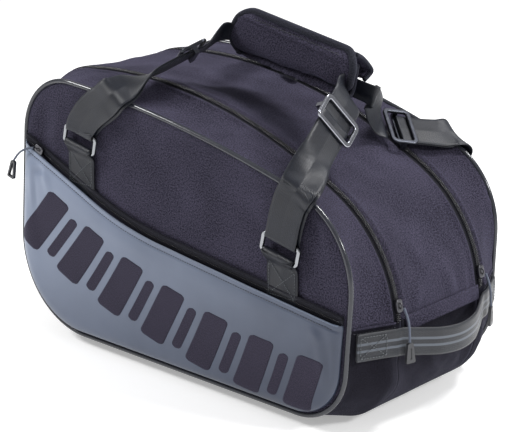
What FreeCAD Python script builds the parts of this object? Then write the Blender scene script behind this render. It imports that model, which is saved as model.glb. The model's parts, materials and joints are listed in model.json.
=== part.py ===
import FreeCAD, Part
import math
import os
import Sketcher

# Soft sports case for court rackets: a domed body between a front and a rear cover, each
# closed by a zip, with two webbing handles, a wrap grip, a zipped front pocket and a side
# grab handle. Millimetres, +Z up, -Y the front. The origin is the middle of the base.

Vector = FreeCAD.Vector

# alias: (value, what it is)
DIMENSIONS = {
    # Each outline is a chain of five arcs and three straight lines in the XZ plane.
    "front_floor": (12, "lowest height of the front outline"),
    "front_lowleft_x": (-137, "centre of its lower left corner"),
    "front_lowleft_r": (97, "radius of that corner"),
    "front_lowright_x": (173, "centre of its lower right corner"),
    "front_lowright_r": (60, "radius of that corner"),
    "front_topright_x": (142, "centre of its upper right shoulder"),
    "front_topright_r": (95, "radius of that shoulder"),
    "front_topleft_x": (-158, "centre of its upper left shoulder"),
    "front_topleft_r": (68, "radius of that shoulder"),
    "front_crown_x": (-242, "centre of its sloping top, across"),
    "front_crown_z": (-1150, "centre of its sloping top, in height"),
    "front_crown_r": (1450, "radius of its sloping top"),
    "middle_floor": (0, "lowest height of the middle outline"),
    "middle_lowleft_x": (-140, "centre of its lower left corner"),
    "middle_lowleft_r": (107, "radius of that corner"),
    "middle_lowright_x": (184, "centre of its lower right corner"),
    "middle_lowright_r": (70, "radius of that corner"),
    "middle_topright_x": (104, "centre of its upper right shoulder"),
    "middle_topright_r": (151, "radius of that shoulder"),
    "middle_topleft_x": (-171, "centre of its upper left shoulder"),
    "middle_topleft_r": (70, "radius of that shoulder"),
    "middle_crown_x": (-110, "centre of its sloping top, across"),
    "middle_crown_z": (-278, "centre of its sloping top, in height"),
    "middle_crown_r": (584, "radius of its sloping top"),
    "rear_floor": (12, "lowest height of the rear outline"),
    "rear_lowleft_x": (-137, "centre of its lower left corner"),
    "rear_lowleft_r": (97, "radius of that corner"),
    "rear_lowright_x": (173, "centre of its lower right corner"),
    "rear_lowright_r": (60, "radius of that corner"),
    "rear_topright_x": (139, "centre of its upper right shoulder"),
    "rear_topright_r": (95, "radius of that shoulder"),
    "rear_topleft_x": (-158, "centre of its upper left shoulder"),
    "rear_topleft_r": (68, "radius of that shoulder"),
    "rear_crown_x": (-159, "centre of its sloping top, across"),
    "rear_crown_z": (-644, "centre of its sloping top, in height"),
    "rear_crown_r": (949, "radius of its sloping top"),
    # Stations along the depth.
    "piping_station": (124, "distance of each piping from the middle plane"),
    "cover_edge": (121, "where the gussets meet the covers"),
    "tape_far": (78, "outer edge of the zip tapes"),
    "zip_station": (70, "line of each zip"),
    "tape_near": (62, "inner edge of the zip tapes"),
    "wall": (2.4, "thickness of the fabric walls"),
    "hem_height": (116, "height where the base strip ends"),
    "trim_long": (700, "length of the boxes that trim the walls at the hem"),
    "trim_wide": (400, "width of those boxes"),
    "trim_high": (400, "height of those boxes"),
    "joint_gap": (0.3, "gap between neighbouring fabric pieces"),
    "panel_thick": (3, "thickness of the front and rear panels"),
    "panel_face": (126, "outer face of the panels"),
    "piping_radius": (2.6, "radius of the piping"),
    "tape_thick": (1.4, "thickness of the zip tapes"),
    "teeth_width": (1.8, "width of one row of zip teeth"),
    "teeth_thick": (2.4, "thickness of the zip teeth"),
    # Base board and divider.
    "board_long": (300, "length of the base board"),
    "board_wide": (120, "width of the base board"),
    "board_thick": (3, "thickness of the base board"),
    "board_corner": (20, "corner radius of the base board"),
    "divider_thick": (3, "thickness of the divider"),
    "divider_inset": (7, "how far the divider stays inside the walls"),
    # Front pocket.
    "pocket_inset": (4.5, "how far the pocket stays inside the piping"),
    "pocket_crown": (12, "how far its sides slope inwards"),
    "pocket_depth": (8.5, "how far it stands off the panel"),
    "pocket_skin": (1.6, "thickness of the coated fabric"),
    "pocket_band": (7.5, "width of the zip band above the pocket"),
    # Webbing, rings and glides.
    "webbing_wide": (40, "width of the webbing"),
    "grab_wide": (29, "width of the grab handle's webbing"),
    "webbing_thick": (1.6, "thickness of one layer of webbing"),
    "double_thick": (3.2, "thickness of doubled webbing"),
    "anchor_high": (52, "height of the sewn anchor patches"),
    "eye_outer": (4.8, "outer radius of a webbing eye"),
    "eye_inner": (2.9, "inner radius of a webbing eye"),
    "ring_wide": (50, "outer width of a handle ring"),
    "ring_high": (22, "outer height of a handle ring"),
    "ring_bar": (4, "thickness of the ring's bars"),
    "ring_corner": (5, "outer corner radius of a ring"),
    "glide_wide": (53, "outer width of a strap glide"),
    "glide_long": (31, "length of a strap glide along the strap"),
    "glide_bar": (5, "width of the glide's bars"),
    "glide_thick": (3.4, "thickness of the glide's frame"),
    "glide_corner": (7, "outer corner radius of a glide"),
    "glide_reach": (7.4, "how far its centre bar lies below the frame"),
    # Grip.
    "grip_long": (154, "length of the wrap grip"),
    "grip_high": (46, "height of the wrap grip"),
    "grip_thick": (8, "thickness of its front pad"),
    "grip_corner": (14, "corner radius of its front pad"),
    "grip_back_thick": (4, "thickness of the wall behind the webbing"),
    "hood_long": (150, "length of the hood over the rear webbing"),
    "hood_deep": (33, "depth of the hood, front to rear"),
    "hood_thick": (5, "thickness of the hood"),
    "binding_radius": (2.8, "radius of the bound edge"),
    # Zip hardware.
    "slider_long": (13, "length of a zip slider"),
    "slider_wide": (9, "width of a zip slider"),
    "slider_thick": (3.6, "thickness of a zip slider"),
    "cord_radius": (1.2, "radius of a pull cord"),
    "tab_long": (21, "length of a pull tab"),
    "tab_wide": (11, "width of a pull tab at its end"),
    "tab_neck": (6, "width of a pull tab at the cord"),
    "tab_thick": (3.4, "thickness of a pull tab"),
}

document = FreeCAD.newDocument("sports_case")
sheet = document.addObject("Spreadsheet::Sheet", "Sheet")
nodes = []


def fill_sheet():
    for row, (alias, (value, note)) in enumerate(DIMENSIONS.items(), start=1):
        sheet.set("A%d" % row, alias)
        sheet.set("B%d" % row, str(value))
        sheet.set("C%d" % row, note)
        sheet.setAlias("B%d" % row, alias)
    document.recompute()


def size(alias):
    return float(sheet.get(alias))


def cell(alias):
    return "Sheet." + alias


def keep(item, label):
    """Label a finished sub-part: its label is the name of its file."""
    item.Label = label
    nodes.append(item)
    return item


def frame(origin, across, outward):
    """A placement with local X along across and local Z along outward."""
    across = Vector(*across)
    outward = Vector(*outward)
    upward = outward.cross(across)
    turn = FreeCAD.Rotation(across, upward, outward, "ZXY")
    return FreeCAD.Placement(Vector(*origin), turn)


# ---------------------------------------------------------------- outlines

def outline_data(name, inset=0.0):
    """Centres and radii of an outline's corner arcs and crown, as (x, z, r)."""
    floor = size(name + "_floor")
    crown = (size(name + "_crown_x"), size(name + "_crown_z"), size(name + "_crown_r"))
    data = {"crown": crown}
    for corner in ("lowleft", "lowright"):
        radius = size("%s_%s_r" % (name, corner))
        data[corner] = (size("%s_%s_x" % (name, corner)), floor + radius, radius)
    for corner in ("topright", "topleft"):
        radius = size("%s_%s_r" % (name, corner))
        x = size("%s_%s_x" % (name, corner))
        reach = math.sqrt((crown[2] - radius) ** 2 - (x - crown[0]) ** 2)
        data[corner] = (x, crown[1] + reach, radius)
    return {key: (x, z, r - inset) for key, (x, z, r) in data.items()}


def tangent_angle(first, second):
    """Direction of the outward normal of the line that runs from one arc to the next."""
    across = second[0] - first[0]
    up = second[1] - first[1]
    return math.atan2(up, across) - math.acos((first[2] - second[2]) / math.hypot(across, up))


def outline_angles(data):
    """Angles at which the outline passes from each piece to the next, anticlockwise."""
    crown = data["crown"]
    right = tangent_angle(data["lowright"], data["topright"])
    left = tangent_angle(data["topleft"], data["lowleft"])
    meet_right = math.atan2(data["topright"][1] - crown[1], data["topright"][0] - crown[0])
    meet_left = math.atan2(data["topleft"][1] - crown[1], data["topleft"][0] - crown[0])
    return right, meet_right, meet_left, left + 2 * math.pi


def outline_pieces(name, inset, make_line, make_arc):
    """The eight pieces of an outline in order, anticlockwise from the bottom line."""
    data = outline_data(name, inset)
    right, meet_right, meet_left, left = outline_angles(data)

    def on(corner, angle):
        x, z, r = data[corner]
        return x + r * math.cos(angle), z + r * math.sin(angle)

    down = -math.pi / 2
    return [
        make_line(on("lowleft", down), on("lowright", down)),
        make_arc(data["lowright"], down, right),
        make_line(on("lowright", right), on("topright", right)),
        make_arc(data["topright"], right, meet_right),
        make_arc(data["crown"], meet_right, meet_left),
        make_arc(data["topleft"], meet_left, left),
        make_line(on("topleft", left), on("lowleft", left)),
        make_arc(data["lowleft"], left, down + 2 * math.pi),
    ]


def outline_wire(name, inset, y):
    """An outline as a closed wire at depth y."""
    def line(a, b):
        return Part.LineSegment(Vector(a[0], y, a[1]), Vector(b[0], y, b[1])).toShape()

    def arc(circle, start, end):
        x, z, r = circle
        turns = (start, (start + end) / 2, end)
        points = [Vector(x + r * math.cos(t), y, z + r * math.sin(t)) for t in turns]
        return Part.Arc(*points).toShape()

    return Part.Wire(outline_pieces(name, inset, line, arc))


def outline_sketch(body, name, inset, depth):
    """An outline sketch in its body's XZ plane, moved to y = -depth, all sizes bound."""
    sketch = body.newObject("Sketcher::SketchObject", name + "_outline")
    plane = [item for item in body.Origin.OriginFeatures if item.Role == "XZ_Plane"][0]
    sketch.AttachmentSupport = [(plane, "")]
    sketch.MapMode = "FlatFace"
    sketch.setExpression(".AttachmentOffset.Base.z", depth)
    up = Vector(0, 0, 1)

    def line(a, b):
        return Part.LineSegment(Vector(a[0], a[1], 0), Vector(b[0], b[1], 0))

    def arc(circle, start, end):
        x, z, r = circle
        return Part.ArcOfCircle(Part.Circle(Vector(x, z, 0), up, r), start, end)

    inset_value = size(inset) if inset else 0.0
    pieces = outline_pieces(name, inset_value, line, arc)
    for piece in pieces:
        sketch.addGeometry(piece, False)
    for index in range(len(pieces)):
        following = (index + 1) % len(pieces)
        sketch.addConstraint(Sketcher.Constraint("Tangent", index, 2, following, 1))

    less = " - " + cell(inset) if inset else ""
    data = outline_data(name, inset_value)
    corners = {"lowright": 1, "topright": 3, "crown": 4, "topleft": 5, "lowleft": 7}

    def bind(kind, corner, value, formula):
        point = () if kind == "Radius" else (3,)
        index = sketch.addConstraint(Sketcher.Constraint(kind, corners[corner], *point, value))
        sketch.setExpression("Constraints[%d]" % index, formula)

    for corner, (x, z, r) in data.items():
        bind("Radius", corner, r, "Sheet.%s_%s_r%s" % (name, corner, less))
        bind("DistanceX", corner, x, "Sheet.%s_%s_x" % (name, corner))
        if corner.startswith("low"):
            formula = "Sheet.%s_floor + Sheet.%s_%s_r" % (name, name, corner)
            bind("DistanceY", corner, z, formula)
    bind("DistanceY", "crown", data["crown"][1], "Sheet.%s_crown_z" % name)
    return sketch


def loft(body, kind, sketches):
    feature = body.newObject(kind, "Loft")
    feature.Profile = sketches[0]
    feature.Sections = sketches[1:]
    feature.Ruled = True
    return feature


def shell(label, stations, inset, wall, side):
    """A fabric wall lofted through outline stations, kept above or below the hem."""
    body = document.addObject("PartDesign::Body", label + "_shell")
    outer = [outline_sketch(body, name, inset, depth) for name, depth in stations]
    loft(body, "PartDesign::AdditiveLoft", outer)
    inner = [outline_sketch(body, name, wall, depth) for name, depth in stations]
    loft(body, "PartDesign::SubtractiveLoft", inner)
    box = document.addObject("Part::Box", label + "_trim")
    box.setExpression("Length", "Sheet.trim_long")
    box.setExpression("Width", "Sheet.trim_wide")
    box.setExpression("Height", "Sheet.trim_high")
    box.setExpression(".Placement.Base.x", "-Sheet.trim_long / 2")
    box.setExpression(".Placement.Base.y", "-Sheet.trim_wide / 2")
    if side == "above":
        box.setExpression(".Placement.Base.z", "Sheet.hem_height")
    else:
        box.setExpression(".Placement.Base.z", "Sheet.hem_height - Sheet.joint_gap - Sheet.trim_high")
    common = document.addObject("Part::MultiCommon", label)
    common.Shapes = [body, box]
    return keep(common, label)


# ---------------------------------------------------------------- fabric body

def base_strip():
    stations = [
        ("front", "Sheet.cover_edge"),
        ("middle", "Sheet.tape_far"),
        ("middle", "-Sheet.tape_far"),
        ("rear", "-Sheet.cover_edge"),
    ]
    shell("base_strip", stations, None, "wall", "below")


def gussets():
    near = "Sheet.tape_near - Sheet.joint_gap"
    far = "Sheet.tape_far + Sheet.joint_gap"
    shell("middle_gusset", [("middle", near), ("middle", "-(%s)" % near)], None, "wall", "above")
    shell("front_gusset", [("front", "Sheet.cover_edge"), ("middle", far)], None, "wall", "above")
    stations = [("middle", "-(%s)" % far), ("rear", "-Sheet.cover_edge")]
    shell("rear_gusset", stations, None, "wall", "above")


def zips():
    """Each zip has an outer half on its cover and an inner half on the body."""
    gap = "Sheet.joint_gap"
    for side, sign in (("front", ""), ("rear", "-")):
        spans = {
            "outer_tape": ("Sheet.tape_far", "Sheet.zip_station + Sheet.teeth_width + " + gap),
            "outer_teeth": ("Sheet.zip_station + Sheet.teeth_width", "Sheet.zip_station + " + gap),
            "inner_teeth": ("Sheet.zip_station - " + gap, "Sheet.zip_station - Sheet.teeth_width"),
            "inner_tape": ("Sheet.zip_station - Sheet.teeth_width - " + gap, "Sheet.tape_near"),
        }
        for piece, (start, end) in spans.items():
            stations = [("middle", "%s(%s)" % (sign, start)), ("middle", "%s(%s)" % (sign, end))]
            thick = "teeth_thick" if piece.endswith("teeth") else "tape_thick"
            shell("%s_zip_%s" % (side, piece), stations, None, thick, "above")


def panel(label, name, start):
    body = document.addObject("PartDesign::Body", label)
    sketch = outline_sketch(body, name, "piping_radius", start)
    pad = body.newObject("PartDesign::Pad", label + "_pad")
    pad.Profile = sketch
    pad.setExpression("Length", "Sheet.panel_thick")
    keep(body, label)


def piping(label, name, y):
    """The round bound edge of a cover, swept along its outline."""
    wire = outline_wire(name, 0.0, y)
    start = wire.OrderedEdges[0]
    point = start.valueAt(start.FirstParameter)
    circle = Part.Wire(Part.makeCircle(size("piping_radius"), point, Vector(1, 0, 0)))
    item = document.addObject("Part::Feature", label)
    item.Shape = wire.makePipeShell([circle], True, True)
    keep(item, label)


def base_board():
    body = document.addObject("PartDesign::Body", "base_board")
    pad = rounded_pad(body, "board_long", "board_wide", "board_corner", "board_thick")
    pad.Label = "base_board_pad"
    body.Placement.Base = Vector(18, 0, size("wall") + size("joint_gap"))
    keep(body, "base_board")


def divider():
    body = document.addObject("PartDesign::Body", "divider")
    sketch = outline_sketch(body, "middle", "divider_inset", "-Sheet.divider_thick / 2")
    pad = body.newObject("PartDesign::Pad", "divider_pad")
    pad.Profile = sketch
    pad.setExpression("Length", "Sheet.divider_thick")
    keep(body, "divider")


# ---------------------------------------------------------------- sketch helpers

def plane_sketch(body, name, role="XY_Plane"):
    sketch = body.newObject("Sketcher::SketchObject", name)
    plane = [item for item in body.Origin.OriginFeatures if item.Role == role][0]
    sketch.AttachmentSupport = [(plane, "")]
    sketch.MapMode = "FlatFace"
    return sketch


def add_rounded(sketch, wide, high, corner):
    """A centred rounded rectangle, with its sizes bound to the given formulas."""
    first = sketch.GeometryCount
    w = evaluate(wide) / 2
    h = evaluate(high) / 2
    r = evaluate(corner)
    up = Vector(0, 0, 1)
    quarter = math.pi / 2
    spots = [(w - r, -h + r), (w - r, h - r), (-w + r, h - r), (-w + r, -h + r)]
    starts = [(-w + r, -h), (w, -h + r), (w - r, h), (-w, h - r)]
    ends = [(w - r, -h), (w, h - r), (-w + r, h), (-w, -h + r)]
    for index in range(4):
        line = Part.LineSegment(Vector(*starts[index], 0), Vector(*ends[index], 0))
        sketch.addGeometry(line, False)
        circle = Part.Circle(Vector(*spots[index], 0), up, r)
        turn = (index - 1) * quarter
        sketch.addGeometry(Part.ArcOfCircle(circle, turn, turn + quarter), False)
    for index in range(8):
        following = first + (index + 1) % 8
        sketch.addConstraint(Sketcher.Constraint("Tangent", first + index, 2, following, 1))
    for index in (3, 5, 7):
        sketch.addConstraint(Sketcher.Constraint("Equal", first + 1, first + index))
    sketch.addConstraint(Sketcher.Constraint("Horizontal", first))
    sketch.addConstraint(Sketcher.Constraint("Symmetric", first + 1, 3, first + 5, 3, -1, 1))
    radius = sketch.addConstraint(Sketcher.Constraint("Radius", first + 1, r))
    across = sketch.addConstraint(Sketcher.Constraint("DistanceX", first + 3, 3, w - r))
    height = sketch.addConstraint(Sketcher.Constraint("DistanceY", first + 3, 3, h - r))
    sketch.setExpression("Constraints[%d]" % radius, corner)
    sketch.setExpression("Constraints[%d]" % across, "(%s) / 2 - (%s)" % (wide, corner))
    sketch.setExpression("Constraints[%d]" % height, "(%s) / 2 - (%s)" % (high, corner))


def evaluate(formula):
    """The value of a formula in the sheet's aliases."""
    values = {alias: size(alias) for alias in DIMENSIONS}
    total = 0.0
    sign = 1.0
    for word in formula.replace("(", " ").replace(")", " ").split():
        if word in "+-":
            sign = 1.0 if word == "+" else -1.0
            continue
        factor = 1.0
        for piece in word.split("*"):
            name = piece.replace("Sheet.", "")
            factor *= values[name] if name in values else float(name)
        total += sign * factor
    return total


def rounded_pad(body, wide, high, corner, thick):
    sketch = plane_sketch(body, "profile")
    add_rounded(sketch, cell(wide), cell(high), cell(corner))
    pad = body.newObject("PartDesign::Pad", "pad")
    pad.Profile = sketch
    pad.setExpression("Length", cell(thick))
    return pad


def round_edges(body, radius):
    """Round every edge of a body's latest feature."""
    document.recompute()
    tip = body.Tip
    fillet = body.newObject("PartDesign::Fillet", "rounding")
    edges = ["Edge%d" % (index + 1) for index in range(len(tip.Shape.Edges))]
    fillet.Base = (tip, edges)
    fillet.Radius = radius
    document.recompute()


# ---------------------------------------------------------------- pocket

def pocket_edge(y, lift):
    """The pocket's upper edge: two straight runs joined by one wide bend, raised by lift."""
    left = Vector(-262, y, 238.5)
    bend = Vector(-64, y, 155.5)
    right = Vector(262, y, 117)
    first = (bend - left).normalize()
    second = (right - bend).normalize()
    run = 58
    up_first = Vector(-first.z, 0, first.x) * lift
    up_second = Vector(-second.z, 0, second.x) * lift
    start = bend - first * run + up_first
    end = bend + second * run + up_second
    half_turn = first.getAngle(second) / 2
    radius = run / math.tan(half_turn)
    centre = bend - first * run + Vector(-first.z, 0, first.x) * radius
    toward = (bend - centre).normalize()
    middle = centre + toward * (radius - lift)
    edges = [
        Part.LineSegment(left + up_first, start).toShape(),
        Part.Arc(start, middle, end).toShape(),
        Part.LineSegment(end, right + up_second).toShape(),
    ]
    return edges


def below_edge(lift, depth):
    """A solid that holds everything below the pocket's upper edge."""
    edges = pocket_edge(-200, lift)
    first = edges[0].firstVertex().Point
    last = edges[-1].lastVertex().Point
    low_left = Vector(first.x, -200, -50)
    low_right = Vector(last.x, -200, -50)
    closing = [
        Part.LineSegment(last, low_right).toShape(),
        Part.LineSegment(low_right, low_left).toShape(),
        Part.LineSegment(low_left, first).toShape(),
    ]
    return Part.Face(Part.Wire(edges + closing)).extrude(Vector(0, depth, 0))


def pocket():
    """A shallow tray of coated fabric whose upper edge is the pocket's mouth."""
    skin = size("pocket_skin")
    inset = size("pocket_inset")
    slope = size("pocket_crown")
    back = -size("panel_face") - size("joint_gap")
    face = back - size("pocket_depth")
    outer = Part.makeLoft(
        [outline_wire("front", inset, back), outline_wire("front", inset + slope, face)], True)
    inner = Part.makeLoft(
        [outline_wire("front", inset + skin, back + 1),
         outline_wire("front", inset + slope + skin, face + skin)], True)
    item = document.addObject("Part::Feature", "pocket_panel")
    item.Shape = outer.cut(inner).common(below_edge(0.0, 200))
    keep(item, "pocket_panel")


def pocket_zip():
    """The zip band that closes the mouth, with its row of teeth along the middle."""
    gap = size("joint_gap")
    band = size("pocket_band")
    back = -size("panel_face") - gap
    field = Part.Face(outline_wire("front", size("pocket_inset") + 2, back))
    field = field.extrude(Vector(0, -6, 0))
    spans = {
        "pocket_zip_tape": (gap, band, 1.6, 0.0),
        "pocket_zip_teeth": (band / 2 - 1.6, band / 2 + 1.6, 1.4, 1.9),
    }
    for label, (low, high, thick, lift) in spans.items():
        strip = below_edge(high, 200).cut(below_edge(low, 200)).common(field)
        layer = Part.makeBox(700, thick, 400, Vector(-350, back - lift - thick, -20))
        item = document.addObject("Part::Feature", label)
        item.Shape = strip.common(layer)
        keep(item, label)


# ---------------------------------------------------------------- handles

# Both lower ring bars of a handle lie on one axis, which the handle swings about.
RING_DEPTH = 131.6
RING_SPOTS = {"left": (-132, 231), "right": (152, 173)}
RING_SLOPE = (173 - 231) / (152 + 132)
ANCHOR_MIDDLES = {"left": -133, "right": 154}


def ring_frame(side, sign):
    """Placement of a ring: local X along its bars, local Y up its sides."""
    x, z = RING_SPOTS[side]
    return frame((x, sign * RING_DEPTH, z), (1, 0, RING_SLOPE), (0, -1, 0))


def rings():
    """Rectangular rings whose lower bars lie on the handle's axis."""
    for depth, sign in (("front", -1), ("rear", 1)):
        for side in RING_SPOTS:
            label = "%s_ring_%s" % (depth, side)
            body = document.addObject("PartDesign::Body", label)
            sketch = plane_sketch(body, "profile")
            rise = "Sheet.ring_high / 2 - Sheet.ring_bar / 2"
            sketch.setExpression(".AttachmentOffset.Base.y", rise)
            sketch.setExpression(".AttachmentOffset.Base.z", "-Sheet.ring_bar / 2")
            add_rounded(sketch, "Sheet.ring_wide", "Sheet.ring_high", "Sheet.ring_corner")
            add_rounded(sketch, "Sheet.ring_wide - 2*Sheet.ring_bar",
                        "Sheet.ring_high - 2*Sheet.ring_bar", "Sheet.ring_corner - 3.5")
            pad = body.newObject("PartDesign::Pad", "pad")
            pad.Profile = sketch
            pad.setExpression("Length", "Sheet.ring_bar")
            round_edges(body, 1.2)
            body.Placement = ring_frame(side, sign)
            keep(body, label)


def eye(wide):
    """A short webbing tube along local X, around a ring's bar."""
    along = Vector(1, 0, 0)
    start = Vector(-wide / 2, 0, 0)
    tube = Part.makeCylinder(size("eye_outer"), wide, start, along)
    return tube.cut(Part.makeCylinder(size("eye_inner"), wide, start, along))


def anchors():
    """Sewn webbing patches, each with an eye at its top that holds a ring."""
    half = size("webbing_wide") / 2
    thick = size("double_thick")
    start = size("panel_face") + size("joint_gap")
    band = size("pocket_band") + size("joint_gap")
    bore = Part.makeCylinder(size("eye_inner"), 3 * half, Vector(-1.5 * half, 0, 0), Vector(1, 0, 0))
    for depth, sign in (("front", -1), ("rear", 1)):
        for side, (x, z) in RING_SPOTS.items():
            placement = ring_frame(side, sign)
            middle = ANCHOR_MIDDLES[side]
            y = start if sign > 0 else -start - thick
            corners = [Vector(middle + reach, y, z - 1.5 + RING_SLOPE * (middle + reach - x))
                       for reach in (-half, half)]
            low = z - size("anchor_high")
            corners += [Vector(middle + half, y, low), Vector(middle - half, y, low)]
            patch = Part.Face(Part.makePolygon(corners + corners[:1])).extrude(Vector(0, thick, 0))
            if sign < 0:
                patch = patch.cut(below_edge(band, 200))
            tube = eye(2 * half)
            hole = bore.copy()
            tube.Placement = placement
            hole.Placement = placement
            label = "%s_anchor_%s" % (depth, side)
            item = document.addObject("Part::Feature", label)
            item.Shape = patch.fuse(tube).cut(hole).removeSplitter()
            keep(item, label)


def ribbon(stations, wide, thick):
    """Webbing through (centre, width direction) stations, as one ruled solid."""
    count = len(stations)
    centres = [Vector(*point) for point, _ in stations]
    wires = []
    for index, (_, across) in enumerate(stations):
        before = centres[max(index - 1, 0)]
        after = centres[min(index + 1, count - 1)]
        along = (after - before).normalize()
        side = Vector(*across)
        side = (side - along * side.dot(along)).normalize()
        normal = along.cross(side)
        reach = side * (wide[index] / 2 if isinstance(wide, list) else wide / 2)
        half = normal * (thick[index] / 2 if isinstance(thick, list) else thick / 2)
        centre = centres[index]
        corners = [centre + reach + half, centre - reach + half,
                   centre - reach - half, centre + reach - half]
        wires.append(Part.makePolygon(corners + corners[:1]))
    return Part.makeLoft(wires, True, True)


def on_run(start, end, share):
    return tuple(a + (b - a) * share for a, b in zip(start, end))


# Each strap leaves its ring, crosses the cover's upper edge at its crest and runs straight
# to the grip. The glide sits on that run, where the webbing lies flat.
GRIP_CENTRE = (62, 0, 343.5)
GRIP_TILT = -10.0
CRESTS = {
    "front_left": (-78, -130.5, 299),
    "front_right": (174, -130.5, 246),
    "rear_left": (-78, 130.5, 311),
}
RUN_ENDS = {
    "front_left": (-10, -5, 361),
    "front_right": (146, -5, 330),
    "rear_left": (-15, 11.5, 350),
}
FLAT_ACROSS = {
    "front_left": (0.71, -0.56, 0.39),
    "front_right": (0.29, 0.61, -0.74),
    "rear_left": (0.71, 0.56, 0.39),
}
REAR_APPROACH = (154, 96, 257.5)
REAR_GLIDE = (140, 74, 262)
REAR_ACROSS = (0.67, -0.55, -0.45)


def grip_point(along, depth, up):
    """A point in the grip's own frame: along its length, to the rear, and up its height."""
    turn = math.radians(GRIP_TILT)
    x = GRIP_CENTRE[0] + along * math.cos(turn) - up * math.sin(turn)
    z = GRIP_CENTRE[2] + along * math.sin(turn) + up * math.cos(turn)
    return (x, GRIP_CENTRE[1] + depth, z)


def grip_up():
    turn = math.radians(GRIP_TILT)
    return (-math.sin(turn), 0, math.cos(turn))


def lower_stations():
    """Doubled webbing from each ring to its glide."""
    stations = {}
    for name, crest in CRESTS.items():
        end = RUN_ENDS[name]
        flat = FLAT_ACROSS[name]
        sign = -1 if name.startswith("front") else 1
        if name.endswith("left"):
            rise = crest[2] - 299
            stations[name] = [
                ((-127.1, sign * RING_DEPTH, 255), (0.98, 0, -0.2)),
                ((-113, sign * RING_DEPTH, 272 + rise / 2), (0.91, 0, -0.42)),
                ((-93, sign * RING_DEPTH, 287 + rise), (0.86, 0.05 * sign, -0.5)),
                (crest, (0.86, 0.1 * sign, -0.5)),
                (on_run(crest, end, 0.10), (0.85, 0.3 * sign, -0.4)),
                (on_run(crest, end, 0.22), (0.82, 0.5 * sign, -0.15)),
                (on_run(crest, end, 0.34), flat),
                (on_run(crest, end, 0.60), flat),
            ]
        else:
            stations[name] = [
                ((156.9, -RING_DEPTH, 197), (0.98, 0, -0.2)),
                ((160.5, -RING_DEPTH, 216), (0.97, 0, -0.24)),
                ((167, -RING_DEPTH, 235), (0.95, 0, -0.3)),
                (crest, (0.93, 0.05, -0.35)),
                (on_run(crest, end, 0.10), (0.85, 0.25, -0.45)),
                (on_run(crest, end, 0.22), (0.6, 0.45, -0.65)),
                (on_run(crest, end, 0.34), flat),
                (on_run(crest, end, 0.60), flat),
            ]
    # The rear right strap folds over the rear edge and lies along the top of the case.
    stations["rear_right"] = [
        ((156.9, RING_DEPTH, 197), (0.98, 0, -0.2)),
        ((161, RING_DEPTH, 213), (0.95, 0, -0.28)),
        ((167.5, 132.5, 230), (0.9, 0, -0.42)),
        ((173, 134, 244), (0.84, 0, -0.5)),
        ((171, 126.5, 253.5), (0.78, -0.25, -0.5)),
        ((164, 113, 254.5), (0.7, -0.48, -0.5)),
        (REAR_APPROACH, REAR_ACROSS),
        (REAR_GLIDE, REAR_ACROSS),
    ]
    return stations


def upper_stations():
    """Single webbing from each glide to the grip, and through it."""
    front_end = grip_point(-88, -3.5, -2)
    front_far = grip_point(82, -5, -2)
    rear_end = grip_point(-82, 11.5, -17)
    rear_far = grip_point(82, 11.5, -17)
    up = grip_up()
    left = [(on_run(CRESTS["front_left"], RUN_ENDS["front_left"], share),
             FLAT_ACROSS["front_left"]) for share in (0.615, 0.7)]
    right = [(on_run(CRESTS["front_right"], RUN_ENDS["front_right"], share),
              tuple(-value for value in FLAT_ACROSS["front_right"])) for share in (0.8, 0.615)]
    front = left + [
        (on_run(left[-1][0], front_end, 0.4), (0.5, -0.3, 0.8)),
        (front_end, up),
        (front_far, up),
        (on_run(front_far, right[0][0], 0.45), (-0.12, -0.3, 0.95)),
    ] + right
    back = [(on_run(CRESTS["rear_left"], RUN_ENDS["rear_left"], share),
             FLAT_ACROSS["rear_left"]) for share in (0.615, 0.8)]
    rear = back + [
        (on_run(back[-1][0], rear_end, 0.6), (0.5, 0.3, 0.8)),
        (rear_end, up),
        (rear_far, up),
        ((141, 23, 305), (0.2, 0.4, 0.89)),
        ((136, 37, 289), (0.0, 0.66, 0.75)),
        ((131, 50, 275), (-0.4, 0.68, 0.6)),
        ((131, 60, 265.5), (-0.67, 0.55, 0.45)),
    ]
    return front, rear


def straps():
    wide = size("webbing_wide")
    thick = size("double_thick")
    for name, stations in lower_stations().items():
        depth, side = name.split("_")
        sign = -1 if depth == "front" else 1
        label = "%s_loop_%s" % (depth, side)
        placement = ring_frame(side, sign)
        top = size("ring_high") - size("ring_bar")
        around = eye(wide)
        around.translate(Vector(0, top, 0))
        around.Placement = placement.multiply(around.Placement)
        bore = Part.makeCylinder(size("eye_inner"), wide + 8, Vector(-wide / 2 - 4, top, 0),
                                 Vector(1, 0, 0))
        bore.Placement = placement.multiply(bore.Placement)
        item = document.addObject("Part::Feature", label)
        item.Shape = around.fuse(ribbon(stations, wide, thick).cut(bore)).removeSplitter()
        keep(item, label)
    front, rear = upper_stations()
    single = size("webbing_thick")
    folded = 2 * single
    item = document.addObject("Part::Feature", "front_strap")
    item.Shape = ribbon(front, [wide, wide, 30, 28, 28, 34, wide, wide], single)
    keep(item, "front_strap")
    item = document.addObject("Part::Feature", "rear_strap")
    widths = [wide, wide, 28, 20, 20, 26, 36, wide, wide]
    thicks = [single, single, 2.4, folded, folded, folded, 2.4, single, single]
    item.Shape = ribbon(rear, widths, thicks)
    keep(item, "rear_strap")


# Each glide: its point on the strap, the strap's direction and the width direction.
def glide_frames():
    frames = {}
    for name, crest in CRESTS.items():
        end = RUN_ENDS[name]
        frames[name] = (on_run(crest, end, 0.6), Vector(*end) - Vector(*crest), FLAT_ACROSS[name])
    toward = Vector(*REAR_GLIDE) - Vector(*REAR_APPROACH)
    frames["rear_right"] = (REAR_GLIDE, toward, REAR_ACROSS)
    return frames


# Which way each glide's frame faces from its webbing.
GLIDE_FACES = {"front_left": (-0.5, 0, 1), "front_right": (1, 0, 0.3),
               "rear_left": (-0.5, 0, 1), "rear_right": (0, 0, 1)}


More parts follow.
